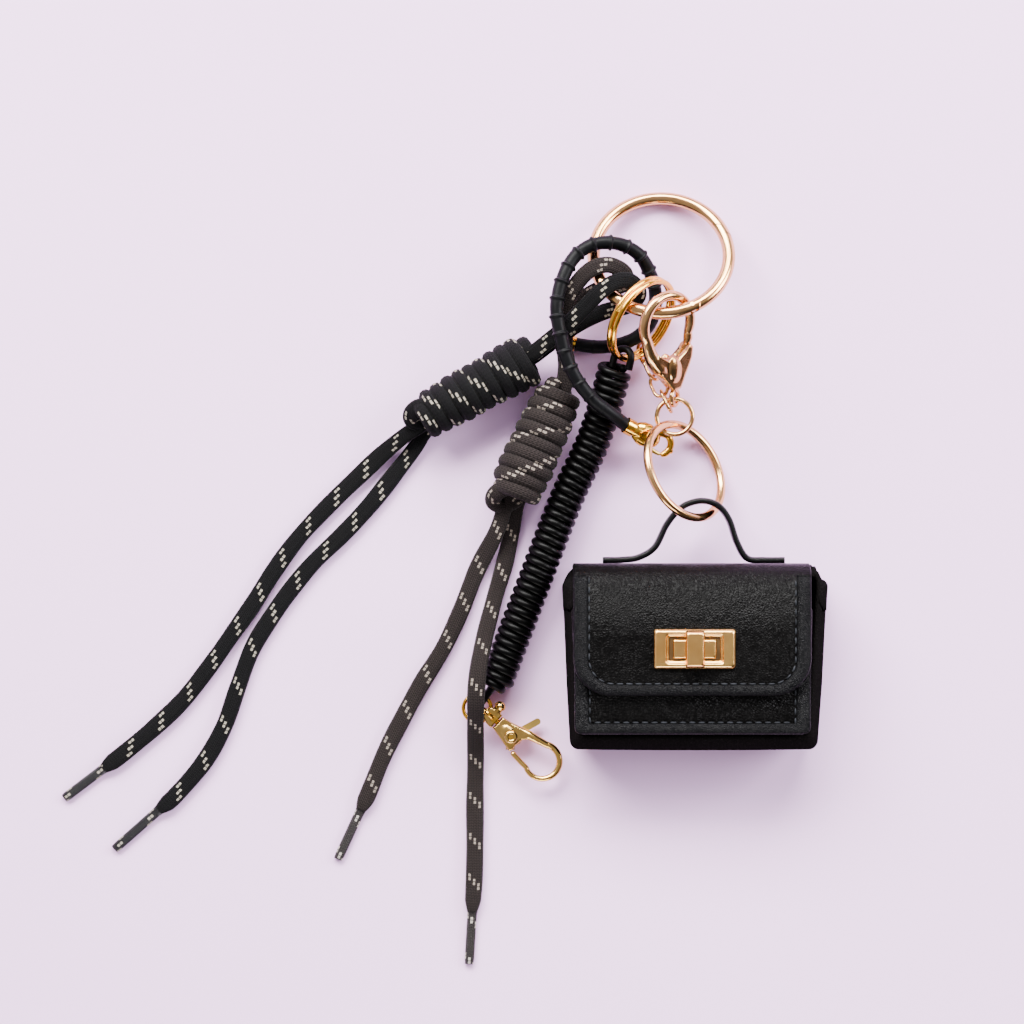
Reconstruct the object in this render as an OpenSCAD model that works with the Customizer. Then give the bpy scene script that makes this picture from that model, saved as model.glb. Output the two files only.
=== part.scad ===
// Wristlet keychain: a spring gate ring that carries two knotted laces, a coil cord with a snap hook,
// a rubber wrist cord and a mini handbag on a lobster clasp, all lying on a flat surface.

/* [Rings] */
// Centreline radius of the spring gate ring
gate_ring_r = 20; // [18:0.5:22]
// Wire radius of the spring gate ring
gate_wire_r = 1.9; // [1.6:0.1:2]
// Centreline radius of the split ring
split_ring_r = 12.8; // [12.4:0.1:13]
// Centreline radius of the ring that holds the bag
charm_ring_r = 14.8; // [14.4:0.1:15]
// Wire radius of the ring that holds the bag
charm_wire_r = 1.3; // [1:0.1:1.4]
// Centreline radius of the jump ring
jump_ring_r = 5.3; // [5:0.1:5.5]

/* [Bag] */
// Width of the bag's flap
flap_w = 69.4; // [66:0.2:70]
// Height of the flap's face, from its fold to its bottom edge
flap_h = 38; // [36:0.5:39]
// Radius of the flap's bottom corners
flap_corner = 11; // [6:0.5:14]
// Thickness of the bag's leather
leather = 1.6; // [1.2:0.1:1.8]
// Depth of the bag from its back to its front panel
bag_depth = 26.6; // [26:0.2:27]

/* [Turn lock] */
// Width of the turn lock's frame
lock_w = 23.8; // [22:0.2:26]
// Height of the turn lock's frame
lock_h = 11.6; // [11:0.2:13]

/* [Laces] */
// Width of the flat laces
lace_w = 5.4; // [5:0.1:5.6]
// Thickness of the flat laces
lace_t = 2.8; // [2.4:0.1:2.8]
// Radius of the rubber wrist cord
wrist_cord_r = 2.2; // [2:0.05:2.2]
// Outer radius of the coil cord
coil_r = 5.25; // [5:0.05:5.3]
// Radius of the plastic cord that the coil is wound from
coil_wire_r = 1.1; // [0.9:0.05:1.1]

/* [Moving parts] */
// Clearance between parts that move past each other
play = 0.15; // [0.1:0.01:0.2]
// Radius added to a bore that turns on a pin
pin_fit = 0.05; // [0.02:0.01:0.08]

/* [Hidden] */
$fn = 48;

rose_gold = [0.87, 0.70, 0.52];
yellow_gold = [0.84, 0.64, 0.20];
black_leather = [0.11, 0.10, 0.105];
black_lace = [0.08, 0.08, 0.09];
grey_lace = [0.30, 0.27, 0.27];
black_rubber = [0.14, 0.145, 0.155];
steel = [0.62, 0.62, 0.64];

// Gate ring: it leans on what lies under its lower side.
gate_ring_at = [-10.1, 119.1, 11.2];
gate_ring_spin = 3.3;
gate_ring_tilt = -27.5;
gate_from = -64;
gate_reach = 27;
gate_step = 1.75;
gate_pin_r = 0.6;
gate_ear = 0.75;
gate_tongue = 0.6;
gate_pin_at = gate_ring_r * [cos(gate_from), sin(gate_from), 0];

// Split ring, charm ring and jump ring.
split_ring_at = [-16, 100, 12.7];
split_wire_r = 0.82;
charm_ring_at = [-3.2, 55.2, 12.3];
jump_ring_at = [-6, 71.3, 8.9];
jump_wire_r = 0.7;

// Lobster clasp, in its own frame: the hook's centre is at the origin and the eye is towards -Y.
lobster_at = [-8.7, 98.2, 18.8];
lobster_hook_r = 8.6;
lobster_wire_r = 1.5;
lobster_thick = 4.4;
lobster_pin_at = [3.9, -13, 0];
lobster_pin_r = 0.5;
lobster_tip = -31;
lobster_yaw = 7.1;
lobster_pitch = 24;
lobster_roll = 33;
lobster_eye_roll = 28;
lobster_eye_y = -23.4;

// Chain between the split ring and the jump ring.
chain_from = [-15.2, 91.4, 3.4];
chain_to = [-8.2, 75.3, 8.8];
link_wire_r = 0.55;
link_bend_r = 2.3;
link_half = 1.2;
link_pitch = 5.49;
link_first = 1.2;
link_roll = 52;
link_twist = 75.7;

// Bag: the origin is the centre of its back face, and it lies on that face.
flap_mid = -1.9;
flap_under = 27.8;
binding_t = 0.5;
binding_w = 4.2;
lock_at = [-1.3, 3.3, flap_under + leather];
knob_w = 5.4;
knob_l = 10.4;
handle_w = 5.6;
handle_z = 14.5;
handle_t = 2.4;
handle_route = [
    [-27.5, 28.8], [-22, 28.9], [-17, 29.6], [-12.2, 32.6], [-8.9, 38.9], [-6.2, 42.5], [-2.9, 45.2],
    [2, 46.3], [6.5, 44.9], [9.7, 40.8], [12, 34.2], [15, 29.4], [20, 28.8], [26, 28.8]
];
top_panel_y = 27.6;
front_panel_top = 15;

// Coil cord and what hangs on it.
coil_route = [
    [-23.8, 85.2, 8.8], [-26.2, 76, 7], [-30.6, 63, 5.7], [-38.2, 46.5, 5.4],
    [-48.9, 19, 5.4], [-58.2, -5.6, 5.4]
];
coil_top_r = 3;
coil_end_r = 2.5;
coil_ring_at = [-64.7, -15.6, 4.2];
coil_ring_r = 4.1;
coil_ring_wire = 0.6;

// Snap hook, in its own frame: the rivet is at the origin and the hook is towards +X.
snap_at = [-54.6, -24.1, 3.9];
snap_turn = -42.6;
snap_pin_r = 0.7;
snap_wire_r = 0.85;
snap_thick = 3.6;
snap_wire_z = 0.75;
snap_slot = 1.2;
snap_slot_z = -1.4;
snap_hook_mid = [11.8, 0.9];
snap_hook_r = 5.2;

// Wrist cord: its points are where it lies, from the clasp round to its hidden end.
wrist_route = [
    [-20.6, 68.8, 10.7], [-25.6, 72.4, 14.4], [-30.6, 76.2, 16.6], [-35, 81.6, 18.2], [-38.2, 88, 19],
    [-40.2, 95.5, 19.4], [-41.2, 103, 19.2], [-39.6, 111, 18], [-35.8, 118.2, 16],
    [-30, 122, 14.8], [-23, 122.2, 14], [-17, 119.4, 12], [-13.4, 114.2, 8.8], [-11.6, 108.4, 6.4],
    [-12, 102.6, 6], [-14, 98, 6.4], [-18, 94.6, 6.2], [-23.4, 92.8, 4.4], [-29, 92.4, 2.6],
    [-35.4, 93.2, 2.3]
];
clasp_at = [-20.6, 68.8, 10.7];
clasp_turn = -28;
clasp_dip = 18;
clasp_hook_x = 12.4;
clasp_hook_r = 3.2;
clasp_pin_at = [8.2, -1.2, 0];
clasp_pin_r = 0.4;

// Knots, from the tails' end to the ring's end.
black_knot_from = [-81.4, 70.8, 7.7];
black_knot_to = [-48.8, 88.8, 8.4];
grey_knot_from = [-54, 48, 8.2];
grey_knot_to = [-40, 78.4, 8.2];

// Laces, from the knots to their aglets.
black_upper_route = [
    [-80.6, 69, 5.6], [-86, 66, 4.8], [-92.6, 60.8, 2.6], [-100.1, 53.8, 1.6], [-108.5, 45.7, 1.5],
    [-117.8, 35.8, 1.5], [-125.2, 25.9, 1.5], [-131.8, 15.5, 1.5], [-138.4, 6, 1.5],
    [-145, -3.4, 1.5], [-152.8, -13.3, 1.5], [-161.2, -21.4, 1.5], [-170.4, -29.1, 1.5],
    [-176.6, -33.8, 1.5]
];
black_lower_route = [
    [-80.4, 66.6, 1.9], [-84, 61.4, 1.6], [-89.4, 54.4, 1.5], [-97.1, 44.8, 1.5], [-104.9, 36.4, 1.5],
    [-113.6, 28, 1.5], [-120.8, 19.4, 1.5], [-126.7, 11, 1.5], [-132.1, 2, 1.5], [-136.3, -9.1, 1.5],
    [-140.5, -21.1, 1.5], [-146.5, -31.8, 1.5], [-154.9, -41.7, 1.5], [-160, -46.2, 1.5]
];
grey_upper_route = [
    [-56, 45.4, 5.6], [-59, 37, 4.7], [-64.8, 25.6, 1.6], [-69.6, 13.4, 1.5], [-75, 2, 1.5],
    [-81.5, -8.5, 1.5], [-87.2, -19, 1.5], [-92.6, -29.7, 1.5], [-97.1, -40.8, 1.5],
    [-99.6, -46.2, 1.5]
];
grey_lower_route = [
    [-53, 45, 2.4], [-54.6, 36.6, 1.6], [-56.4, 28, 1.5], [-59.3, 18, 2.4], [-62.2, 6.8, 6.4],
    [-64.2, -3, 11.2], [-65, -12, 11.4], [-65.2, -21.5, 7], [-65.2, -31, 2.4], [-65.4, -42.6, 1.5],
    [-65.4, -54.6, 1.5], [-65.6, -66.6, 1.5], [-66.2, -76.6, 1.5]
];
black_loop_route = [
    [-48.4, 89.8, 13], [-43.4, 93.6, 14.6], [-38.6, 97.6, 15.8], [-33, 103, 18.6], [-28.4, 107.6, 20.6],
    [-23.6, 110.6, 20.6], [-19.2, 110.6, 18.8], [-17, 107.2, 16.6], [-20, 104, 14.4],
    [-26.6, 102.4, 12.4], [-33.4, 99.4, 10.4], [-39.4, 95.6, 9.2], [-44.4, 92, 8.6], [-48.2, 89.2, 8.2]
];
grey_loop_route = [
    [-38.8, 80.4, 11], [-38, 87.6, 11.6], [-39.8, 94.4, 12], [-39.4, 101.4, 13.6], [-36.4, 108.6, 15.2],
    [-31.4, 114.2, 17], [-25.8, 115.8, 16.6], [-21, 113.6, 13.4], [-21.6, 110.4, 9.6],
    [-28, 109.4, 8.4], [-34.4, 105.4, 7.4], [-37.6, 99.4, 6.4], [-38.6, 92.6, 6.2], [-38.2, 86, 5.6],
    [-39.2, 80, 5.2]
];
cord_sides = 10;
lace_sides = 8;

// Geometry helpers.
function unit(v) = v / norm(v);
function heading(a, b) = atan2(b[1] - a[1], b[0] - a[0]);
function rise(a, b) = asin((b[2] - a[2]) / norm(b - a));
function tangent(route, i) =
    unit(route[min(i + 1, len(route) - 1)] - route[max(i - 1, 0)]);
function sideways(t) = unit(cross([0, 0, 1], t));

// A tube along a route of points, wide across the route and thick upwards.
module swept_tube(route, wide, thick, sides) {
    rings = len(route);
    points = [
        for (i = [0 : rings - 1])
            let (t = tangent(route, i), s = sideways(t), u = cross(t, s))
            for (k = [0 : sides - 1])
                route[i] + s * wide / 2 * cos(360 * k / sides) + u * thick / 2 * sin(360 * k / sides)
    ];
    walls = [
        for (i = [0 : rings - 2], k = [0 : sides - 1])
            let (n = (k + 1) % sides)
            each [
                [i * sides + k, (i + 1) * sides + k, (i + 1) * sides + n],
                [i * sides + k, (i + 1) * sides + n, i * sides + n]
            ]
    ];
    ends = [
        [for (k = [0 : sides - 1]) k],
        [for (k = [sides - 1 : -1 : 0]) (rings - 1) * sides + k]
    ];
    polyhedron(points = points, faces = concat(walls, ends), convexity = 10);
}

module torus(ring_r, wire_r) {
    rotate_extrude() translate([ring_r, 0]) circle(r = wire_r, $fn = 32);
}

module arc_rod(ring_r, wire_r, from, sweep) {
    rotate([0, 0, from])
        rotate_extrude(angle = sweep) translate([ring_r, 0]) circle(r = wire_r, $fn = 32);
}

// A round rod between two points, with round ends where they are asked for.
module rod(a, b, r, round_a = false, round_b = false) {
    translate(a)
        rotate([0, 90 - rise(a, b), heading(a, b)])
            cylinder(h = norm(b - a), r = r);
    if (round_a) translate(a) sphere(r = r);
    if (round_b) translate(b) sphere(r = r);
}

module plate(points, z, t) {
    translate([0, 0, z]) linear_extrude(t) polygon(points);
}

// The rectangle's bottom corners are round.
module flap_outline(w, h, r) {
    translate([-w / 2, -h + r]) square([w, h - r]);
    translate([-w / 2 + r, -h]) square([w - 2 * r, r + 0.1]);
    for (side = [-1, 1]) translate([side * (w / 2 - r), -h + r]) circle(r = r);
}

module rounded_rect(w, h, r) {
    square([w - 2 * r, h], center = true);
    square([w, h - 2 * r], center = true);
    for (x = [-1, 1], y = [-1, 1]) translate([x * (w / 2 - r), y * (h / 2 - r)]) circle(r = r);
}

// ---- Spring gate ring ----
module gate_ring_place() {
    translate(gate_ring_at)
        rotate(a = gate_ring_tilt, v = [cos(gate_ring_spin), sin(gate_ring_spin), 0])
            children();
}

// The stretch of the ring that the gate fills. Its stepped nose is cut along circles about the pin,
// so that the gate swings inward past the ring's end.
module gate_sector(gap) {
    linear_extrude(8, center = true)
        intersection() {
            polygon([
                [0, 0], 30 * [cos(gate_from), sin(gate_from)], 40 * [cos(-8), sin(-8)],
                30 * [cos(50), sin(50)]
            ]);
            union() {
                translate(gate_pin_at) circle(r = gate_reach + gap, $fn = 180);
                intersection() {
                    translate(gate_pin_at) circle(r = gate_reach + gate_step + gap, $fn = 180);
                    circle(r = gate_ring_r + gap / 2, $fn = 180);
                }
            }
        }
}

module gate_ring_body() color(rose_gold) gate_ring_place()
    difference() {
        union() {
            difference() {
                torus(gate_ring_r, gate_wire_r);
                gate_sector(play);
            }
            intersection() {
                torus(gate_ring_r, gate_wire_r);
                translate(gate_pin_at) cylinder(h = 8, r = 2.2, center = true);
            }
        }
        translate(gate_pin_at) cylinder(h = 2 * gate_ear, r = 2.3, center = true);
        translate(gate_pin_at) cylinder(h = 8, r = gate_pin_r, center = true);
    }

module ring_gate() color(rose_gold) gate_ring_place()
    difference() {
        union() {
            difference() {
                intersection() {
                    torus(gate_ring_r, gate_wire_r);
                    gate_sector(-play);
                }
                translate(gate_pin_at) cylinder(h = 8, r = 2.2 + play, center = true);
            }
            translate(gate_pin_at) cylinder(h = 2 * gate_tongue, r = 1.6, center = true);
            translate(gate_pin_at)
                rotate([0, 0, gate_from + 93])
                    translate([0, -1.1, -gate_tongue]) cube([3.4, 2.2, 2 * gate_tongue]);
        }
        translate(gate_pin_at) cylinder(h = 8, r = gate_pin_r + pin_fit, center = true);
    }

module ring_hinge_pin() color(rose_gold) gate_ring_place()
    translate(gate_pin_at) cylinder(h = 3.6, r = gate_pin_r, center = true);

// A flat spiral spring in a pocket beside the tongue, drawn as its closed outer shape.
module ring_gate_spring() color(steel) gate_ring_place()
    translate(gate_pin_at + [0, 0, -gate_tongue - 0.12])
        difference() {
            cylinder(h = 0.1, r = 1.3);
            translate([0, 0, -1]) cylinder(h = 2, r = gate_pin_r + 0.1);
        }

// ---- Split ring ----
module split_ring() color(yellow_gold)
    translate(split_ring_at)
        rotate(a = 57.7, v = [cos(56.2), sin(56.2), 0]) {
            for (side = [-1, 1])
                translate([0, 0, side * (split_wire_r + 0.03)]) torus(split_ring_r, split_wire_r);
            // The step where the wire passes from one turn to the other.
            rotate([0, 0, 150])
                translate([split_ring_r - 0.6, -2, -0.8]) cube([1.2, 4, 1.6]);
        }

// ---- Lobster clasp ----
module lobster_place() {
    translate(lobster_at) rotate([0, 0, lobster_yaw]) rotate([lobster_pitch, 0, 0])
        rotate([0, lobster_roll, 0]) children();
}

module lobster_body() color(rose_gold) lobster_place()
    difference() {
        union() {
            arc_rod(lobster_hook_r, lobster_wire_r, lobster_tip, 217 - lobster_tip);
            translate(lobster_hook_r * [cos(217), sin(217), 0]) sphere(r = lobster_wire_r + 0.05);
            rod(lobster_hook_r * [cos(217), sin(217), 0], [-3.6, -11, 0], lobster_wire_r);
            hull() {
                translate([-3.5, -11.6, 0]) cylinder(h = 3.6, r = 2.5, center = true, $fn = 32);
                translate([3.4, -12.8, 0]) cylinder(h = lobster_thick, r = 2.6, center = true, $fn = 32);
                translate([0, -18, 0]) cylinder(h = lobster_thick, r = 1.9, center = true, $fn = 32);
            }
            // The raised drop on the upper face.
            hull() {
                translate([-1.6, -12.6, lobster_thick / 2]) cylinder(h = 0.5, r = 1.3, $fn = 32);
                translate([-0.1, -17.2, lobster_thick / 2]) cylinder(h = 0.3, r = 0.6, $fn = 32);
            }
        }
        // The slot that the lever turns in, its pin's bore and the eye's bore.
        translate([1.7, -16.4, -0.95]) cube([8, 8, 1.9]);
        translate(lobster_pin_at) cylinder(h = 9, r = lobster_pin_r, center = true);
        translate([0, -22, 0]) rotate([-90, 0, 0]) cylinder(h = 4, r = 0.95 + pin_fit);
    }

module lobster_lever() color(rose_gold) lobster_place() {
    lever_tip = lobster_hook_r * [cos(lobster_tip - 3), sin(lobster_tip - 3), 0] - [0.3, 0, 0];
    difference() {
        union() {
            translate(lobster_pin_at) cylinder(h = 1.6, r = 1.3, center = true);
            hull() {
                translate(lobster_pin_at) cylinder(h = 1.6, r = 1.2, center = true, $fn = 32);
                translate([5.3, -9.6, 0]) cylinder(h = 1.6, r = 1, center = true, $fn = 32);
            }
            rod([5.4, -9.4, 0], lever_tip, 1.1, true, false);
        }
        translate(lobster_pin_at) cylinder(h = 9, r = lobster_pin_r + pin_fit, center = true);
    }
}

module lobster_pin() color(rose_gold) lobster_place()
    translate(lobster_pin_at) cylinder(h = lobster_thick, r = lobster_pin_r, center = true);

module lobster_spring() color(steel) lobster_place()
    translate([1.9, -15.4, 0]) rotate([0, 90, 30]) cylinder(h = 1, r = 0.5);

module lobster_eye() color(rose_gold) lobster_place() rotate([0, lobster_eye_roll, 0]) {
    translate([0, -21.4, 0]) rotate([-90, 0, 0]) cylinder(h = 3.1, r = 0.95);
    translate([0, lobster_eye_y, 0]) torus(2.3, 0.72);
}

// ---- Chain and plain rings ----
module chain_link(i) color(rose_gold) {
    along = unit(chain_to - chain_from);
    translate(chain_from + along * (link_first + link_pitch * i))
        rotate([0, -asin(along[2]), heading(chain_from, chain_to)])
            rotate([link_roll + link_twist * i, 0, 0]) {
                for (side = [-1, 1]) {
                    translate([side * link_half, 0, 0])
                        arc_rod(link_bend_r, link_wire_r, side == 1 ? -90 : 90, 180);
                    translate([-link_half, side * link_bend_r, 0])
                        rotate([0, 90, 0]) cylinder(h = 2 * link_half, r = link_wire_r, $fn = 32);
                }
            }
}
module chain_link_1() chain_link(0);
module chain_link_2() chain_link(1);
module chain_link_3() chain_link(2);
module chain_link_4() chain_link(3);

module jump_ring() color(rose_gold) translate(jump_ring_at) torus(jump_ring_r, jump_wire_r);

module charm_ring() color(rose_gold)
    translate(charm_ring_at)
        rotate(a = -47.2, v = [cos(-61.1), sin(-61.1), 0]) torus(charm_ring_r, charm_wire_r);

// ---- Bag ----
// A strap on edge: its flat faces stand upright.
module bag_handle() color(black_leather)
    translate([0, 0, handle_z - handle_w / 2])
        linear_extrude(handle_w)
            polygon([
                for (side = [1, -1])
                    let (last = len(handle_route) - 1)
                    for (k = [0 : last])
                        let (i = side == 1 ? k : last - k, t = tangent(handle_route, i))
                        handle_route[i] + side * handle_t / 2 * [-t[1], t[0]]
            ]);

module bag_back() color(black_leather)
    plate([[-38.4, 25.6], [-36, -23.4], [35, -23.4], [38.4, 25.6]], 0, leather);

module bag_top() color(black_leather)
    translate([-36, 0, 0])
        rotate([90, 0, 90])
            linear_extrude(69) polygon([
                [top_panel_y - leather, 0], [top_panel_y - 0.5, 0], [top_panel_y, 6],
                [top_panel_y, 22], [top_panel_y - 0.4, 24.6], [top_panel_y - leather - 0.2, 24.6],
                [top_panel_y - leather, 22]
            ]);

// A gusset's section: it bulges out between the back and the front.
module gusset_section(side, front_x) {
    polygon([
        [side * 38.2, leather + 0.1], [side * 39.4, 8], [side * 39.6, 14], [side * 38.2, 20],
        [front_x + side * leather, 26.2], [front_x, 26.2],
        [side * (38.2 - leather), 19.6], [side * (39.6 - leather), 14],
        [side * (39.4 - leather), 8], [side * (38.2 - leather), leather + 0.1]
    ]);
}

module bag_gusset(side, front_x, lean) color(black_leather)
    rotate([0, 0, lean])
        translate([0, 25.4, 0])
            rotate([90, 0, 0])
                linear_extrude(47) gusset_section(side, front_x);

module bag_gusset_left() bag_gusset(-1, -37.2, 3.2);
module bag_gusset_right() bag_gusset(1, 33.8, -3.2);

module bag_base() color(black_leather)
    translate([-33.4, 0, 0])
        rotate([90, 0, 90])
            linear_extrude(65.4) polygon([
                [-24, leather + 0.1], [-26.4, 5], [-27.3, 11], [-26.6, 17.5], [-24.6, 22.4], [-23, 24.9],
                [-21.2, 24.9], [-23.1, 21.8], [-25, 17], [-25.7, 11], [-24.8, 5.4], [-22.4, leather + 0.1]
            ]);

module bag_front() color(black_leather)
    difference() {
        plate([[-37, front_panel_top], [-35.4, -21.9], [32.2, -21.9], [33.4, front_panel_top]],
              bag_depth - leather, leather);
        translate([flap_mid, -5, bag_depth - 0.6]) cylinder(h = 2, r = 5.2);
    }

// An open tray of thin lining inside the leather.
module bag_lining() color([0.2, 0.2, 0.21])
    difference() {
        translate([-33.5, -20.6, leather + 0.2]) cube([64.5, 44.6, bag_depth - 2 * leather - 0.4]);
        translate([-33, -20.1, leather + 0.7]) cube([63.5, 50, bag_depth - 2 * leather - 1.4]);
        translate([-34, front_panel_top, leather + 4]) cube([66, 12, bag_depth]);
    }

module bag_flap() color(black_leather) {
    translate([flap_mid, 24.4, flap_under])
        linear_extrude(leather) flap_outline(flap_w, flap_h - 3.2, flap_corner);
    // The fold from the top panel's edge over onto the flap's face.
    translate([flap_mid - flap_w / 2, 24.4, flap_under - 1.6])
        rotate([90, 0, 90])
            linear_extrude(flap_w)
                intersection() {
                    difference() {
                        circle(r = leather * 2);
                        circle(r = leather);
                    }
                    square(leather * 2);
                }
}

module flap_binding() color(black_leather)
    translate([flap_mid, 24.2, flap_under + leather])
        linear_extrude(binding_t)
            difference() {
                flap_outline(flap_w, flap_h - 3, flap_corner);
                translate([0, 1])
                    flap_outline(flap_w - 2 * binding_w, flap_h - 2 - 3, flap_corner - binding_w + 1);
            }

module flap_magnet() color(steel)
    translate([flap_mid, -5, flap_under - 0.5]) cylinder(h = 0.5, r = 5);

module front_magnet() color(steel)
    translate([flap_mid, -5, bag_depth - 0.6]) cylinder(h = 1, r = 5.2);

module lock_frame() color(rose_gold)
    translate(lock_at)
        difference() {
            union() {
                linear_extrude(1.1) rounded_rect(lock_w, lock_h, 0.8);
                linear_extrude(1.7) rounded_rect(lock_w - 1.6, lock_h - 1.6, 0.6);
            }
            translate([0, 0, -1]) linear_extrude(4) rounded_rect(15.6, 7.6, 0.4);
        }

module lock_block() color(rose_gold)
    translate(lock_at) {
        linear_extrude(1.5) rounded_rect(11.4, 5.8, 0.5);
        cylinder(h = 2.4, r = 1.5);
    }

module lock_knob() color(rose_gold)
    translate(lock_at + [0, 0, 1.7])
        difference() {
            union() {
                linear_extrude(2.2) rounded_rect(knob_w, knob_l, 1);
                linear_extrude(2.8) rounded_rect(knob_w - 1.4, knob_l - 1.2, 0.8);
            }
            translate([0, 0, -1]) cylinder(h = 1.9, r = 1.5 + pin_fit);
        }

module lock_washer() color(steel)
    translate([lock_at[0], lock_at[1] + 0.5, flap_under - 0.4])
        linear_extrude(0.4) rounded_rect(20, 6.4, 1);

// ---- Coil cord ----
module coil_cord() color(black_rubber) swept_tube(coil_route, 2 * coil_r, 2 * coil_r, 12);

// A bight of the plastic cord with its two legs in the coil's end.
module coil_bight(at, turn, roll, bend_r, legs) color(black_rubber)
    translate(at)
        rotate([0, 0, turn])
            rotate([90 + roll, 0, 0]) {
                arc_rod(bend_r, coil_wire_r, -90, 180);
                for (side = [-1, 1])
                    translate([-legs, side * bend_r, 0])
                        rotate([0, 90, 0]) cylinder(h = legs, r = coil_wire_r, $fn = 32);
            }

module coil_top_loop() coil_bight([-21.5, 88.5, 9.8], 77, 55, coil_top_r, 3);
module coil_end_loop() coil_bight([-62.1, -11.9, 4.3], 235.6, 0, coil_end_r, 6.6);

module coil_ring() color(yellow_gold) translate(coil_ring_at) torus(coil_ring_r, coil_ring_wire);

// ---- Snap hook ----
module snap_place() {
    translate(snap_at) rotate([0, 0, snap_turn]) children();
}

module snap_eye() color(yellow_gold) snap_place() translate([-6.6, 0.5, 0]) {
    rotate([0, -90, 0]) cylinder(h = 1.4, r = 2);
    translate([0.8, 0, 0]) rotate([0, -90, 0]) cylinder(h = 2.2, r = 0.9);
    translate([-3, 0, 0]) rotate([90, 0, 0]) torus(2.2, 0.65);
}

module snap_body() color(yellow_gold) snap_place() {
    mid = [snap_hook_mid[0], snap_hook_mid[1], snap_wire_z];
    // The straight stretches leave the loop at its ends, and start a little inside it.
    top_end = mid + snap_hook_r * [cos(106.9), sin(106.9), 0];
    nose_end = mid + snap_hook_r * [cos(96), -sin(96), 0];
    along = [cos(16.9), sin(16.9), 0];
    nose_along = [cos(6), -sin(6), 0];
    difference() {
        union() {
            plate([
                [-6, -1.9], [-4.4, -1.9], [-1, -2.2], [1, -2.1], [2.2, -0.9], [2.4, 2.4], [2, 3.7],
                [1, 4.3], [-4.4, 2.9], [-6, 2.9]
            ], -snap_thick / 2, snap_thick);
            rod(top_end - 9.9 * along, top_end + 0.3 * along, snap_wire_r - 0.05);
            translate(mid) arc_rod(snap_hook_r, snap_wire_r, -96, 202.9);
            rod(nose_end - 7.4 * nose_along, nose_end + 0.3 * nose_along, snap_wire_r - 0.05);
        }
        // The slot that the trigger turns in, the spring's pocket, the rivet's and the eye's bores.
        translate([-1.9, -4, snap_slot_z]) cube([9, 11, snap_slot]);
        translate([-4, -0.5, snap_slot_z]) cube([2.4, 1.4, snap_slot]);
        cylinder(h = 9, r = snap_pin_r, center = true);
        translate([-6.6, 0.5, 0]) rotate([0, 90, 0]) cylinder(h = 2.2, r = 0.9 + pin_fit);
    }
}

module snap_trigger() color(yellow_gold) snap_place()
    difference() {
        translate([0, 0, snap_slot_z + 0.1]) linear_extrude(snap_slot - 0.2) {
            circle(r = 1.7);
            rotate(-48) translate([0, -1.5]) square([3.9, 2.6]);
            rotate(72) translate([0, -1]) square([9, 2]);
            translate([2.8, 8.6]) circle(r = 1);
        }
        cylinder(h = 9, r = snap_pin_r + pin_fit, center = true);
    }

module snap_rivet() color(yellow_gold) snap_place() {
    cylinder(h = snap_thick, r = snap_pin_r, center = true);
    for (side = [-1, 1])
        translate([0, 0, side * (snap_thick / 2 + 0.25)]) cylinder(h = 0.5, r = 1.6, center = true);
}

module snap_spring() color(steel) snap_place()
    translate([-3.4, 0.2, snap_slot_z + snap_slot / 2]) rotate([0, 90, 0]) cylinder(h = 1.2, r = 0.5);

// ---- Wrist cord ----
module wrist_cord() color(black_rubber)
    swept_tube(wrist_route, 2 * wrist_cord_r, 2 * wrist_cord_r, cord_sides);

module clasp_place() {
    translate(clasp_at) rotate([0, clasp_dip, clasp_turn]) children();
}

module wrist_cord_cap() color(yellow_gold) clasp_place() {
    rotate([0, 90, 0]) cylinder(h = 2.6, r = 2.5);
    translate([2.6, 0, 0]) rotate([0, 90, 0]) cylinder(h = 1.1, r = 1.3);
}

module wrist_cord_end() color(yellow_gold)
    translate(wrist_route[len(wrist_route) - 1])
        rotate([0, 90, 165]) {
            cylinder(h = 3.4, r = 2.25);
            translate([0, 0, 3.4]) cylinder(h = 1, r = 1.2);
        }

// A small lobster clasp: its hook is towards +X.
module cord_clasp_body() color(yellow_gold) clasp_place()
    difference() {
        union() {
            hull() {
                translate([5.4, 0, 0]) cylinder(h = 3.8, r = 1.7, center = true, $fn = 32);
                translate([7.6, 1, 0]) cylinder(h = 3.8, r = 2.2, center = true, $fn = 32);
                translate([7.8, -1.2, 0]) cylinder(h = 3.8, r = 1.8, center = true, $fn = 32);
            }
            translate([clasp_hook_x, 0, 0]) arc_rod(clasp_hook_r, 0.95, -46, 212);
        }
        translate([6, -4.4, -0.75]) cube([6, 4.8, 1.5]);
        translate(clasp_pin_at) cylinder(h = 9, r = clasp_pin_r + pin_fit, center = true);
    }

module cord_clasp_lever() color(yellow_gold) clasp_place() {
    translate(clasp_pin_at) cylinder(h = 3.8, r = clasp_pin_r, center = true);
    translate(clasp_pin_at) cylinder(h = 1.2, r = 1, center = true);
    hull() {
        translate(clasp_pin_at) cylinder(h = 1.2, r = 0.9, center = true, $fn = 32);
        translate([10.2, -2.6, 0]) cylinder(h = 1.2, r = 0.6, center = true, $fn = 32);
    }
    rod([10.2, -2.6, 0], [13.5, -2.87, 0], 0.6, true, false);
}

// ---- Knots and laces ----
// The outer shape of a lace wound into a barrel: a row of round wraps.
module wrapped_knot(from, to, knot_r, wraps) {
    long = norm(to - from);
    pitch = long / wraps;
    translate(from)
        rotate([0, 90 - rise(from, to), heading(from, to)])
            rotate_extrude() {
                square([knot_r - lace_t / 2, long]);
                intersection() {
                    for (i = [0 : wraps - 1])
                        translate([knot_r - lace_t * 0.75, pitch * (i + 0.5)])
                            circle(r = lace_t * 0.75, $fn = 32);
                    square([knot_r + 1, long]);
                }
            }
}

module black_knot() color(black_lace) wrapped_knot(black_knot_from, black_knot_to, 7.5, 9);
module grey_knot() color(grey_lace) wrapped_knot(grey_knot_from, grey_knot_to, 8, 9);

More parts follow.
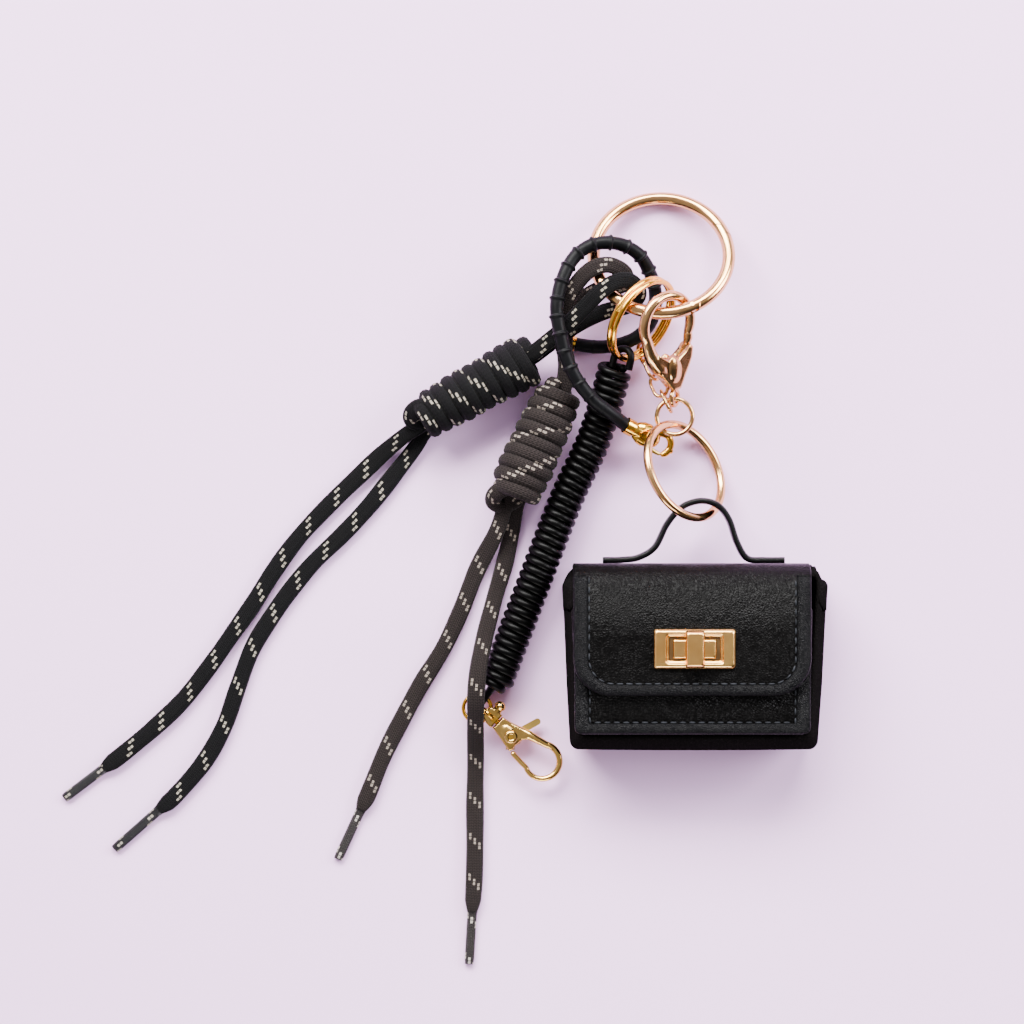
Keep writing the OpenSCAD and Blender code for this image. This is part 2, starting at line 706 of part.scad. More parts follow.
module lace(route) swept_tube(route, lace_w, lace_t, lace_sides);
module black_lace_loop() color(black_lace) lace(black_loop_route);
module grey_lace_loop() color(grey_lace) lace(grey_loop_route);
module black_tail_upper() color(black_lace) lace(black_upper_route);
module black_tail_lower() color(black_lace) lace(black_lower_route);
module grey_tail_upper() color(grey_lace) lace(grey_upper_route);
module grey_tail_lower() color(grey_lace) lace(grey_lower_route);

// A heat-shrunk tip that starts where its lace ends.
module aglet(route, long, r) color(black_rubber) {
    end = route[len(route) - 1];
    before = route[len(route) - 2];
    translate(end) rotate([0, 90, heading(before, end)]) cylinder(h = long, r = r);
}
module black_aglet_upper() aglet(black_upper_route, 15, 1.4);
module black_aglet_lower() aglet(black_lower_route, 18, 1.4);
module grey_aglet_upper() aglet(grey_upper_route, 16.5, 1.5);
module grey_aglet_lower() aglet(grey_lower_route, 16, 1.5);

gate_ring_body();
ring_gate();
ring_hinge_pin();
ring_gate_spring();
split_ring();
lobster_body();
lobster_lever();
lobster_pin();
lobster_spring();
lobster_eye();
chain_link_1();
chain_link_2();
chain_link_3();
chain_link_4();
jump_ring();
charm_ring();
bag_handle();
bag_back();
bag_top();
bag_gusset_left();
bag_gusset_right();
bag_base();
bag_front();
bag_lining();
bag_flap();
flap_binding();
flap_magnet();
front_magnet();
lock_frame();
lock_block();
lock_knob();
lock_washer();
coil_cord();
coil_top_loop();
coil_end_loop();
coil_ring();
snap_eye();
snap_body();
snap_trigger();
snap_rivet();
snap_spring();
wrist_cord();
wrist_cord_cap();
wrist_cord_end();
cord_clasp_body();
cord_clasp_lever();
black_knot();
black_lace_loop();
black_tail_upper();
black_tail_lower();
black_aglet_upper();
black_aglet_lower();
grey_knot();
grey_lace_loop();
grey_tail_upper();
grey_tail_lower();
grey_aglet_upper();
grey_aglet_lower();
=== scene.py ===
"""Wristlet keychain: the looks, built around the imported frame. Lengths in the lists are millimetres."""

import math
import random

import bpy
import numpy as np
from mathutils import Matrix, Vector


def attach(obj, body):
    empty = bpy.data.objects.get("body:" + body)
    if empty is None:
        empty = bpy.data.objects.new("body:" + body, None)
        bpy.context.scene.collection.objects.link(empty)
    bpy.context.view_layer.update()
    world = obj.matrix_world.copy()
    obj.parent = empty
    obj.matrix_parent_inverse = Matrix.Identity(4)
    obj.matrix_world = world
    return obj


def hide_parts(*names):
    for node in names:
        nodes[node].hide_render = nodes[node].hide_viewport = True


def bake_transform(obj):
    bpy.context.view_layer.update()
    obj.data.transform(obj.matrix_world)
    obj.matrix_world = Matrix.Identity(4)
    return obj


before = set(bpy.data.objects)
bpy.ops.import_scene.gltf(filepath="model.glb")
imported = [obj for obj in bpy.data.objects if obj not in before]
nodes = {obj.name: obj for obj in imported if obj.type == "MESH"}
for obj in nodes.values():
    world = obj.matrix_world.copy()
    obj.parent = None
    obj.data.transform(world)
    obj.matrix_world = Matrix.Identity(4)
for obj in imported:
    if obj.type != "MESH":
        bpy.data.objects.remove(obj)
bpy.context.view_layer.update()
MM = 0.001


# ---------------------------------------------------------------- camera and light
# The camera looks straight down from 0.9 m.
camera = bpy.data.objects.new("camera", bpy.data.cameras.new("camera"))
camera.data.lens = 105.47
camera.data.sensor_width = 36
camera.data.clip_start = 0.05
camera.data.clip_end = 20
camera.location = (-0.0543, 0.043, 0.9)
bpy.context.scene.collection.objects.link(camera)
bpy.context.scene.camera = camera


def area_light(name, place, target, size, watts, colour=(1, 1, 1)):
    data = bpy.data.lights.new(name, "AREA")
    data.shape = "RECTANGLE"
    data.size, data.size_y = size
    data.energy = watts
    data.color = colour
    light = bpy.data.objects.new(name, data)
    light.location = place
    light.rotation_euler = (Vector(target) - Vector(place)).to_track_quat("-Z", "Y").to_euler()
    bpy.context.scene.collection.objects.link(light)


MIDDLE = (-0.05, 0.04, 0)
area_light("window", (-0.75, 1.2, 1.0), MIDDLE, (1.1, 0.8), 88, (1, 0.985, 0.97))
area_light("skylight", (0.15, 1.25, 0.95), (0, 0.02, 0), (1.0, 0.5), 54, (1, 0.99, 0.98))
area_light("fill", (1.3, 0.5, 0.75), MIDDLE, (0.8, 0.6), 40, (0.97, 0.96, 1))
area_light("front", (-0.2, -1.4, 0.6), MIDDLE, (1.2, 0.4), 18, (1, 0.97, 0.96))


# ---------------------------------------------------------------- materials
class Shader:
    """A material's node tree, with short calls to add and join nodes."""

    def __init__(self, name):
        self.material = bpy.data.materials.new(name)
        self.material.use_nodes = True
        self.tree = self.material.node_tree
        self.main = self.tree.nodes["Principled BSDF"]

    def add(self, kind, inputs=None, **settings):
        n = self.tree.nodes.new("ShaderNode" + kind)
        for key, value in settings.items():
            setattr(n, key, value)
        for key, value in (inputs or {}).items():
            if isinstance(value, bpy.types.NodeSocket):
                self.tree.links.new(value, n.inputs[key])
            else:
                n.inputs[key].default_value = value
        return n

    def math(self, operation, a, b=0.0, c=0.0):
        n = self.add("Math", {0: a, 1: b, 2: c}, operation=operation)
        return n.outputs[0]

    def plus(self, a, b):
        return self.math("ADD", a, b)

    def minus(self, a, b):
        return self.math("SUBTRACT", a, b)

    def times(self, a, b):
        return self.math("MULTIPLY", a, b)

    def place(self):
        return self.add("TexCoord").outputs["Object"]

    def noise(self, vector, scale, detail=3.0, rough=0.55):
        inputs = {"Vector": vector, "Scale": scale, "Detail": detail, "Roughness": rough}
        n = self.add("TexNoise", inputs)
        return n.outputs["Fac"]

    def spread(self, value, low, high, from_low=0.3, from_high=0.7):
        n = self.add("MapRange", {"Value": value, "From Min": from_low, "From Max": from_high,
                                  "To Min": low, "To Max": high})
        return n.outputs["Result"]

    def mix(self, factor, a, b):
        n = self.add("Mix", {0: factor}, data_type="RGBA")
        for index, value in ((6, a), (7, b)):
            if isinstance(value, bpy.types.NodeSocket):
                self.tree.links.new(value, n.inputs[index])
            else:
                n.inputs[index].default_value = (*value, 1)
        return n.outputs[2]

    def bump(self, height, depth, strength=1.0, normal=None):
        inputs = {"Height": height, "Distance": depth, "Strength": strength}
        if normal is not None:
            inputs["Normal"] = normal
        return self.add("Bump", inputs).outputs["Normal"]

    def set(self, **sockets):
        for key, value in sockets.items():
            name = key.replace("_", " ")
            if isinstance(value, bpy.types.NodeSocket):
                self.tree.links.new(value, self.main.inputs[name])
            elif isinstance(value, tuple):
                self.main.inputs[name].default_value = (*value, 1)
            else:
                self.main.inputs[name].default_value = value
        return self.material


def gold(name, colour, deep, low, high):
    """Polished plating: a little unevenness in tone and gloss, fine scratches, and wear on the edges."""
    s = Shader(name)
    p = s.place()
    tone = s.spread(s.noise(p, 160, 2), 0, 1)
    base = s.mix(tone, deep, colour)
    stretched = s.add("Mapping", {"Vector": p, "Scale": (1, 1, 7), "Rotation": (0.5, 0.4, 0.9)})
    scratches = s.noise(stretched.outputs["Vector"], 900, 2, 0.7)
    rough = s.spread(s.noise(p, 420, 4), low, high)
    edge = s.spread(s.add("NewGeometry").outputs["Pointiness"], 0, 0.5, 0.53, 0.62)
    base = s.mix(edge, base, tuple(min(1, c * 1.12) for c in colour))
    return s.set(Base_Color=base, Metallic=1.0, Roughness=rough,
                 Normal=s.bump(scratches, 0.00002, 0.35))


def leather(name, dark, light, low, high, grain, depth, gloss=1.16, bow=None, level=0.5):
    """Pebbled leather: raised cells with creases between them, painted shade in the creases and painted
    highlight on the cell tops.
    bow is (start, end, drop): the padding under the leather falls away from start to end along Y."""
    s = Shader(name)
    p = s.place()
    warp = s.add("TexNoise", {"Vector": p, "Scale": 260.0, "Detail": 2.0})
    colours = {"Fac": 0.0012, "Color1": p, "Color2": warp.outputs["Color"]}
    bent = s.add("MixRGB", colours, blend_type="ADD")
    cells = s.add("TexVoronoi", {"Vector": bent.outputs[0], "Scale": grain}, feature="DISTANCE_TO_EDGE")
    pebble = s.spread(cells.outputs["Distance"], 0, 1, 0.0, 0.42)
    fine = s.noise(p, 2600, 3)
    broad = s.noise(p, 90, 2)
    # Painted shade and highlight: the creases take the dark colour and the cell tops the light one, varied at
    # random by the broad noise.
    tone = s.times(pebble, s.spread(broad, 0.5, 1.0))
    padding = None
    if bow:
        share = s.spread(s.add("SeparateXYZ", {"Vector": p}).outputs["Y"], 1, 0, *bow[:2])
        dome = s.minus(s.times(share, 2), s.times(share, share))
        padding = s.bump(dome, bow[2])
    normal = s.bump(fine, 0.00002, 0.4, s.bump(pebble, depth, 0.8, padding))
    return s.set(Base_Color=s.mix(tone, dark, light), Roughness=s.spread(broad, low, high),
                 Specular_IOR_Level=level, IOR=gloss, Normal=normal)


RIB_PITCH, KNIT_PITCH = 1.1, 0.8
FLECK_CELL, FLECK_SLANT, FLECK_PITCH = 1.5, 1.4, 12.2


def woven(name, yarn, deep, fleck, sheen):
    """A knitted tubular lace: ribs of small stitches, and rows of three pale flecks set on a slant.
    The mesh's UV map holds millimetres: along the lace, and across it from the middle of its upper face."""
    s = Shader(name)
    uv = s.add("UVMap").outputs["UV"]
    parts = s.add("SeparateXYZ", {"Vector": uv})
    along, across = parts.outputs["X"], parts.outputs["Y"]
    face = s.math("WRAP", across, 3.5, -3.5)
    rib = s.math("ABSOLUTE", s.minus(s.math("FRACT", s.math("DIVIDE", face, RIB_PITCH)), 0.5))
    slope = s.times(rib, RIB_PITCH)
    stitch = s.math("FRACT", s.plus(s.math("DIVIDE", along, KNIT_PITCH), slope))
    loop = s.math("SINE", s.times(stitch, math.pi))
    valley = s.math("SINE", s.times(rib, 2 * math.pi))
    height = s.plus(s.times(loop, 0.55), s.times(valley, 0.6))
    # Flecks lie in three cells across, each one set further along than the last.
    cell = s.plus(s.math("DIVIDE", face, FLECK_CELL), 0.5)
    column = s.math("FLOOR", cell)
    shift = s.plus(along, s.times(column, FLECK_SLANT))
    within = s.math("MODULO", s.plus(shift, 1200.0), FLECK_PITCH)
    lengthwise = s.math("ABSOLUTE", s.minus(within, 6.0))
    crosswise = s.math("ABSOLUTE", s.minus(s.math("FRACT", cell), 0.5))
    wobble = s.times(s.minus(s.noise(s.place(), 900, 2), 0.5), 0.5)
    reach = s.plus(lengthwise, wobble)
    long_enough = s.math("LESS_THAN", reach, 0.95)
    narrow_enough = s.math("LESS_THAN", s.plus(crosswise, s.times(wobble, 0.3)), 0.25)
    on_face = s.math("LESS_THAN", s.math("ABSOLUTE", face), 2.15)
    # Each fleck is two stitches with a dark nick between them.
    nick = s.math("GREATER_THAN", lengthwise, 0.12)
    in_cell = s.times(long_enough, narrow_enough)
    pale = s.times(in_cell, s.times(on_face, nick))
    fuzz = s.noise(s.place(), 3500, 2)
    # Painted shade: the knit's low places take the deep colour and its raised loops the yarn colour, varied
    # at random by the fuzz.
    shade = s.times(s.spread(height, 0.0, 1.0, 0.15, 1.1), s.spread(fuzz, 0.6, 1.1))
    colour = s.mix(pale, s.mix(shade, deep, yarn), fleck)
    raised = s.plus(height, s.times(pale, 0.5))
    normal = s.bump(fuzz, 0.00006, 0.5, s.bump(raised, 0.00022, 0.9))
    s.set(Sheen_Weight=sheen, Sheen_Roughness=0.4, Specular_IOR_Level=0.1)
    return s.set(Base_Color=colour, Roughness=s.spread(fuzz, 0.72, 0.92), Normal=normal)


def plastic(name, dark, light, low, high, bump, scale, gloss=0.5):
    """Moulded plastic or rubber: faint cloudiness, dust-fine grain and an uneven gloss."""
    s = Shader(name)
    p = s.place()
    cloud = s.noise(p, 210, 3)
    grain = s.noise(p, scale, 3)
    return s.set(Base_Color=s.mix(s.spread(cloud, 0, 1), dark, light),
                 Roughness=s.spread(grain, low, high), IOR=1.2, Specular_IOR_Level=gloss,
                 Normal=s.bump(grain, bump, 0.5))


rose_gold = gold("rose_gold_plating", (0.77, 0.46, 0.205), (0.62, 0.33, 0.125), 0.13, 0.23)
# A brighter copy of the rose gold plating for the lock: painted light on its flat faces, which reflect the
# dark ceiling.
lock_lit_gold = gold("lock_gold_plating", (1.0, 0.59, 0.19), (0.92, 0.50, 0.14), 0.15, 0.26)
yellow_gold = gold("yellow_gold_plating", (0.88, 0.50, 0.07), (0.70, 0.36, 0.035), 0.10, 0.2)
snap_gold = gold("snap_gold_plating", (0.82, 0.53, 0.16), (0.60, 0.36, 0.085), 0.13, 0.23)
dull_gold = gold("dull_gold_plating", (0.62, 0.42, 0.11), (0.42, 0.27, 0.06), 0.3, 0.45)
# A dark gold for the floor of the lock's window: painted shade in the gaps round the plate.
lock_painted_shade = gold("lock_painted_shade", (0.20, 0.12, 0.05), (0.12, 0.07, 0.03), 0.4, 0.5)
steel = gold("spring_steel", (0.6, 0.6, 0.62), (0.5, 0.5, 0.52), 0.25, 0.4)
# Each leather's first colour is the painted shade in its creases and its second the painted highlight on its
# cell tops.
ink, pebble_lit_black = (0.0006, 0.0005, 0.0005), (0.0018, 0.0016, 0.0016)
flap_leather = leather("black_flap_leather", ink, pebble_lit_black, 0.33, 0.42, 1350, 0.00015, 1.165,
                       (0.006, 0.0265, 0.005))
panel_leather = leather("black_panel_leather", ink, (0.0018, 0.0015, 0.0015), 0.36, 0.46, 1350, 0.0002, 1.17)
shell_leather = leather("black_shell_leather", (0.0038, 0.0034, 0.0034), (0.0085, 0.0076, 0.0076), 0.4, 0.5,
                        1150, 0.0002, level=0.0)
strap_leather = leather("black_strap_leather", (0.0006, 0.0006, 0.0007), (0.0018, 0.0017, 0.0019), 0.27, 0.37,
                        2300, 0.00005, 1.28)
band_leather = leather("black_band_leather", (0.0015, 0.0015, 0.0019), (0.0040, 0.0040, 0.0050), 0.36, 0.48,
                       1900, 0.00018, 1.18)
thread = plastic("bag_thread", (0.009, 0.01, 0.012), (0.024, 0.026, 0.031), 0.45, 0.65, 0.00005, 5000)
coil_plastic = plastic("coil_plastic", (0.0004, 0.0004, 0.0004), (0.001, 0.0009, 0.0009), 0.3, 0.42,
                       0.00001, 700, 0.4)
cord_rubber = plastic("cord_rubber", (0.0014, 0.0015, 0.0018), (0.0036, 0.0038, 0.0044), 0.38, 0.52,
                      0.00003, 2400, 0.45)
# Each braid's second colour is the painted shade in the knit's hollows.
black_braid = woven("black_braid", (0.0042, 0.0040, 0.0046), (0.0004, 0.0004, 0.0005), (0.30, 0.27, 0.22),
                    0.02)
grey_braid = woven("grey_braid", (0.026, 0.0195, 0.0185), (0.0014, 0.001, 0.001), (0.24, 0.2, 0.17), 0.04)


# ---------------------------------------------------------------- mesh helpers
PLAIN_UV = 5


def unit(v):
    return v / np.linalg.norm(v, axis=-1, keepdims=True)


def smooth_path(points, step):
    """A Catmull-Rom curve through the points, resampled at an even step."""
    p = np.array(points, float)
    ext = np.vstack([2 * p[0] - p[1], p, 2 * p[-1] - p[-2]])
    t = np.linspace(0, 1, 24, endpoint=False)[:, None]
    dense = [
        0.5 * (2 * b + (c - a) * t + (2 * a - 5 * b + 4 * c - d) * t**2 + (3 * b - a - 3 * c + d) * t**3)
        for a, b, c, d in zip(ext, ext[1:], ext[2:], ext[3:])
    ]
    return resample(np.vstack(dense + [p[-1:]]), step)


def resample(dense, step):
    length = arc_length(dense)
    count = max(2, int(round(length[-1] / step)) + 1)
    at = np.linspace(0, length[-1], count)
    return np.stack([np.interp(at, length, dense[:, i]) for i in range(3)], 1)


def arc_length(path):
    """Distance along the path to each of its points."""
    return np.concatenate([[0], np.cumsum(np.linalg.norm(np.diff(path, axis=0), axis=1))])


def tangents(path):
    return unit(np.gradient(path, axis=0))


def lying_frames(path):
    """Side and up directions along a path that lies more or less flat."""
    t = tangents(path)
    side = unit(np.cross([0, 0, 1], t))
    return side, np.cross(t, side)


def mesh_object(name, verts, faces, material, uvs=None, smooth=True):
    mesh = bpy.data.meshes.new(name)
    mesh.from_pydata((np.asarray(verts, float) * MM).tolist(), [], faces)
    if uvs is not None:
        layer = mesh.uv_layers.new(name="UVMap")
        layer.data.foreach_set("uv", np.asarray(uvs, np.float32).ravel())
    mesh.validate()
    mesh.update()
    obj = bpy.data.objects.new(name, mesh)
    bpy.context.scene.collection.objects.link(obj)
    mesh.materials.append(material)
    mesh.polygons.foreach_set("use_smooth", [smooth] * len(mesh.polygons))
    return obj


def grid_faces(rows, columns, closed):
    """Faces of a grid of rows, each with this many points; closed joins its last column to its first."""
    faces = []
    for i in range(rows - 1):
        for k in range(columns if closed else columns - 1):
            n = (k + 1) % columns
            faces.append((i * columns + k, i * columns + n, (i + 1) * columns + n, (i + 1) * columns + k))
    return faces


def end_caps(rows, columns):
    """The two faces that close a tube made of rows of points."""
    last = (rows - 1) * columns
    return [tuple(range(columns - 1, -1, -1)), tuple(range(last, last + columns))]


def tube_faces(rows, columns):
    return grid_faces(rows, columns, True) + end_caps(rows, columns)


def perimeter(outline):
    """Distance round a closed outline to each of its points, and back to the first."""
    edge = np.linalg.norm(np.roll(outline, -1, axis=0) - outline, axis=1)
    return np.concatenate([[0], np.cumsum(edge)])


def sweep(name, path, side, up, section, material, u_start=0.0, u_scale=1.0):
    """A closed tube. section is (points, 2) or (rings, points, 2), counter-clockwise from the far end."""
    rings, count = len(path), section.shape[-2]
    section = np.broadcast_to(section, (rings, count, 2))
    verts = path[:, None] + side[:, None] * section[..., :1] + up[:, None] * section[..., 1:]
    across = perimeter(section[rings // 2])
    across = across - across[count // 4]
    along = arc_length(path) * u_scale + u_start
    uvs = []
    for i in range(rings - 1):
        for k in range(count):
            uvs += [(along[i], across[k]), (along[i], across[k + 1]),
                    (along[i + 1], across[k + 1]), (along[i + 1], across[k])]
    # The ends take a stretch of the map that has no fleck.
    uvs += [(along[0], PLAIN_UV)] * count + [(along[-1], PLAIN_UV)] * count
    return mesh_object(name, verts.reshape(-1, 3), tube_faces(rings, count), material, uvs)


def circle(count):
    a = np.arange(count) * 2 * math.pi / count
    return np.stack([np.cos(a), np.sin(a)], 1)


def lace_section(wide, thick, ribs=0.09, power=0.72, count=44):
    """A flat tube's outline with shallow ribs."""
    c = circle(count)
    flat = np.sign(c) * np.abs(c) ** power * [wide / 2, thick / 2]
    across = perimeter(flat)[:-1]
    across = across - across[count // 4]
    tangent = unit(np.roll(flat, -1, axis=0) - np.roll(flat, 1, axis=0))
    outward = np.stack([tangent[:, 1], -tangent[:, 0]], 1)
    return flat + outward * (ribs * np.cos(2 * math.pi * across / RIB_PITCH))[:, None]


def scaled(outline, wide, thick):
    """The outline at each ring of a path, stretched by that ring's width and thickness."""
    return outline[None] * np.stack([wide, thick], 1)[:, None]


def settle(obj, finish, body, *stands_for):
    """Joins a piece to its rigid body and hides the CAD nodes that it stands for, if any. The finish is not
    used.
    """
    if stands_for:
        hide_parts(*stands_for)
    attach(obj, body)
    return obj


# ---------------------------------------------------------------- laces
LACE_WIDE, LACE_THICK = 5.0, 2.6
TAILS = {
    "black_tail_upper": (black_braid, "black_aglet_upper", 15.0, [
        [-77.6, 71.2, 6.6], [-81, 69, 5.6], [-86, 66, 4.8], [-92.6, 60.8, 2.6], [-100.1, 53.8, 1.6],
        [-108.5, 45.7, 1.5], [-117.8, 35.8, 1.5], [-125.2, 25.9, 1.5], [-131.8, 15.5, 1.5],
        [-138.4, 6, 1.5], [-145, -3.4, 1.5], [-152.8, -13.3, 1.5], [-161.2, -21.4, 1.5],
        [-170.4, -29.1, 1.5], [-176.6, -33.8, 1.5]]),
    "black_tail_lower": (black_braid, "black_aglet_lower", 18.0, [
        [-77.8, 69.8, 3.4], [-80.6, 66.6, 2.1], [-84, 61.4, 1.6], [-89.4, 54.4, 1.5],
        [-97.1, 44.8, 1.5], [-104.9, 36.4, 1.5], [-113.6, 28, 1.5], [-120.8, 19.4, 1.5],
        [-126.7, 11, 1.5], [-132.1, 2, 1.5], [-136.3, -9.1, 1.5], [-140.5, -21.1, 1.5],
        [-146.5, -31.8, 1.5], [-154.9, -41.7, 1.5], [-160, -46.2, 1.5]]),
    "grey_tail_upper": (grey_braid, "grey_aglet_upper", 16.5, [
        [-52.6, 50, 6.8], [-56, 45.4, 5.8], [-59, 37, 4.7], [-64.8, 25.6, 1.6], [-69.6, 13.4, 1.5],
        [-75, 2, 1.5], [-81.5, -8.5, 1.5], [-87.2, -19, 1.5], [-92.6, -29.7, 1.5], [-97.1, -40.8, 1.5],
        [-99.6, -46.2, 1.5]]),
    "grey_tail_lower": (grey_braid, "grey_aglet_lower", 16.0, [
        [-50.6, 49.6, 4.2], [-53, 45, 2.6], [-54.6, 36.6, 1.6], [-56.4, 28, 1.5], [-59.3, 18, 2.4],
        [-62.2, 6.8, 6.4], [-64.2, -3, 11.2], [-65, -12, 11.4], [-65.2, -21.5, 7], [-65.2, -31, 2.4],
        [-65.4, -42.6, 1.5], [-65.4, -54.6, 1.5], [-65.6, -66.6, 1.5], [-66.2, -76.6, 1.5]]),
}
LOOPS = {
    "black_lace_loop": (black_braid, [
        [-52.4, 87.4, 11.4], [-48.4, 89.8, 13], [-43.4, 93.6, 14.6], [-38.6, 97.6, 15.8],
        [-33, 103, 18.6], [-28.4, 107.6, 20.6], [-23.6, 110.6, 20.6], [-19.2, 110.6, 18.8],
        [-17, 107.2, 16.6], [-20, 104, 14.4], [-26.6, 102.4, 12.4], [-33.4, 99.4, 10.4],
        [-39.4, 95.6, 9.2], [-44.4, 92, 8.6], [-48.2, 89.2, 8.2], [-52.4, 87, 8.4]]),
    "grey_lace_loop": (grey_braid, [
        [-41.2, 76.4, 9.6], [-38.8, 80.4, 11], [-38, 87.6, 11.6], [-39.8, 94.4, 12],
        [-39.4, 101.4, 13.6], [-36.4, 108.6, 15.2], [-31.4, 114.2, 17], [-25.8, 115.8, 16.6],
        [-21, 113.6, 13.4], [-21.6, 110.4, 9.6], [-28, 109.4, 8.4], [-34.4, 105.4, 7.4],
        [-37.6, 99.4, 6.4], [-38.6, 92.6, 6.2], [-38.2, 86, 5.6], [-39.2, 80, 5.2], [-41.2, 76, 6.4]]),
}


def lace_finish(braid):
    return "grey_lace" if braid is grey_braid else "black_lace"


def aglet(name, end, heading, long, material, u_start):
    """The tip: the braid squeezed flat under clear film, with a crimped end."""
    steps = np.linspace(0, 1, 22)
    path = end + heading * (steps * long)[:, None]
    side, up = lying_frames(path)
    wide = np.interp(steps, [0, 0.06, 0.12, 0.9, 1], [3.5, 3.1, 2.95, 2.9, 2.6])
    thick = np.interp(steps, [0, 0.1, 0.9, 1], [2.3, 1.9, 1.8, 1.5])
    path[:, 2] = thick / 2 + 0.06 + (end[2] - 1.5) * (1 - steps)
    section = scaled(lace_section(1, 1, 0, 0.8, 28), wide, thick)
    return sweep(name, path, side, up, section, material, u_start)


def film(name, dark, yarn, fleck):
    """Clear heat-shrunk film over the braid: the same flecks, drawn out, under a gloss."""
    material = woven(name, yarn, dark, fleck, 0.0)
    main = material.node_tree.nodes["Principled BSDF"]
    for link in list(main.inputs["Roughness"].links):
        material.node_tree.links.remove(link)
    main.inputs["Roughness"].default_value = 0.22
    main.inputs["Coat Weight"].default_value = 0.7
    main.inputs["Coat Roughness"].default_value = 0.12
    return material


# Each film's dark colour is the painted shade in the knit's hollows under the film.
black_film = film("black_aglet_film", (0.003, 0.003, 0.003), (0.012, 0.012, 0.013), (0.30, 0.27, 0.22))
grey_film = film("grey_aglet_film", (0.006, 0.005, 0.005), (0.03, 0.026, 0.025), (0.42, 0.38, 0.34))

for tail_name, (braid, tip_name, tip_long, route) in TAILS.items():
    path = smooth_path(route, 0.55)
    side, up = lying_frames(path)
    s = arc_length(path)
    left = s[-1] - s
    # It narrows into its tip over the last few millimetres, and it comes out of the knot folded narrower.
    width = np.interp(left, [0, 1.2, 3.2, 6], [0.6, 0.78, 0.98, 1])
    width = width * np.interp(s, [0, 8, 22], [0.8, 0.92, 1])
    width = width * (1 + 0.025 * np.sin(s / 7.3 + route[0][0]) + 0.02 * np.sin(s / 3.1))
    thick = np.interp(left, [0, 2, 5], [0.8, 0.95, 1])
    section = scaled(lace_section(LACE_WIDE, LACE_THICK), width, thick)
    tail = sweep(tail_name + "_braid", path, side, up, section, braid)
    settle(tail, lace_finish(braid), "keyring", tail_name)
    heading = unit(np.array(route[-1]) - np.array(route[-2])) * [1, 1, 0]
    tip = aglet(tip_name + "_tip", path[-1] - heading * 0.6, unit(heading), tip_long + 0.5,
                grey_film if braid is grey_braid else black_film, s[-1])
    settle(tip, "aglet_plastic", "keyring", tip_name)

for loop_name, (braid, route) in LOOPS.items():
    path = smooth_path(route, 0.5)
    side, up = lying_frames(path)
    section = lace_section(LACE_WIDE - 0.3, LACE_THICK)
    loop = sweep(loop_name + "_braid", path, side, up, section, braid, 4.0)
    settle(loop, lace_finish(braid), "keyring", loop_name)


def wound_knot(name, node, start, end, outer, wraps, wide, thick, material, seed, curl):
    """The lace wound round itself: round wraps side by side, a core, and a curl where the tails leave.
    outer lists the barrel's radius from its start to its end."""
    start, end = np.array(start, float), np.array(end, float)
    axis = unit(end - start)
    left = unit(np.cross([0, 0, 1], axis))
    over = np.cross(axis, left)
    long = np.linalg.norm(end - start)
    turns = np.linspace(-0.2, wraps + 0.2, int((wraps + 0.4) * 60))
    angle = 2 * math.pi * turns
    rng = random.Random(seed)
    ripple = [(rng.uniform(0.13, 0.4), rng.uniform(0, 6.3)) for _ in range(4)]
    uneven = sum(np.sin(angle * f + p) for f, p in ripple) / 4
    share = np.clip(turns / wraps, 0, 1)
    barrel = np.interp(share, np.linspace(0, 1, len(outer)), outer)
    tuck = np.interp(turns, [-0.2, 0.3, wraps - 0.3, wraps + 0.2], [0.6, 1, 1, 0.6])
    radius = (barrel - thick / 2) * tuck + 0.28 * uneven
    along = wide / 2 + (long - wide) * share + 0.4 * np.sin(angle + 0.8) + 0.3 * uneven
    radial = np.cos(angle)[:, None] * left + np.sin(angle)[:, None] * over
    path = start + along[:, None] * axis + radius[:, None] * radial
    t = tangents(path)
    side = unit(np.cross(radial, t))
    up = np.cross(t, side)
    swell = 1 + 0.05 * np.sin(angle * 0.31 + seed)
    section = scaled(lace_section(wide, thick, 0.06, 0.94), swell, np.ones_like(swell))
    winding = sweep(name, path, side, up, section, material, seed, 0.85)
    rows = np.linspace(1.5, long - 1.5, 14)
    dome = np.interp(rows / long, np.linspace(0, 1, len(outer)), outer) - thick * 0.75
    dome = dome * np.interp(rows, [1.5, 4, long - 4, long - 1.5], [0.8, 1, 1, 0.8])
    core = sweep(name + "_core", start + rows[:, None] * axis, np.repeat(left[None], 14, 0),
                 np.repeat(over[None], 14, 0), circle(28)[None] * dome[:, None, None], material)
    path = smooth_path(curl, 0.4)
    side, up = lying_frames(path)
    bend = sweep(name + "_curl", path, side, up, lace_section(5.0, 3.8, 0.06, 0.85), material, 3.0)
    settle(winding, lace_finish(material), "keyring", node)
    for piece in (core, bend):
        settle(piece, lace_finish(material), "keyring")


wound_knot("black_knot_winding", "black_knot", [-82.6, 70.1, 7.8], [-47.2, 89.7, 8.6], (7.1, 7.5, 7.9, 8.3),
           10, 4.05, 3.9, black_braid, 3,
           [[-76.5, 73.2, 12], [-81.2, 74.2, 11], [-83.9, 72.6, 9.2], [-84, 70.4, 7], [-81.6, 69.4, 5.2],
            [-77.5, 70.6, 4.6]])
wound_knot("grey_knot_winding", "grey_knot", [-54.8, 46.4, 8.65], [-38.6, 81.4, 8.4],
           (8.0, 8.4, 8.1, 7.7, 6.6), 9, 4.4, 4.1, grey_braid, 8,
           [[-50.8, 50.6, 11.8], [-55.6, 50.4, 11.9], [-59.2, 48.4, 10.2], [-59.6, 46, 7.4], [-56.6, 45, 5.2],
            [-52.4, 47.2, 4.6]])


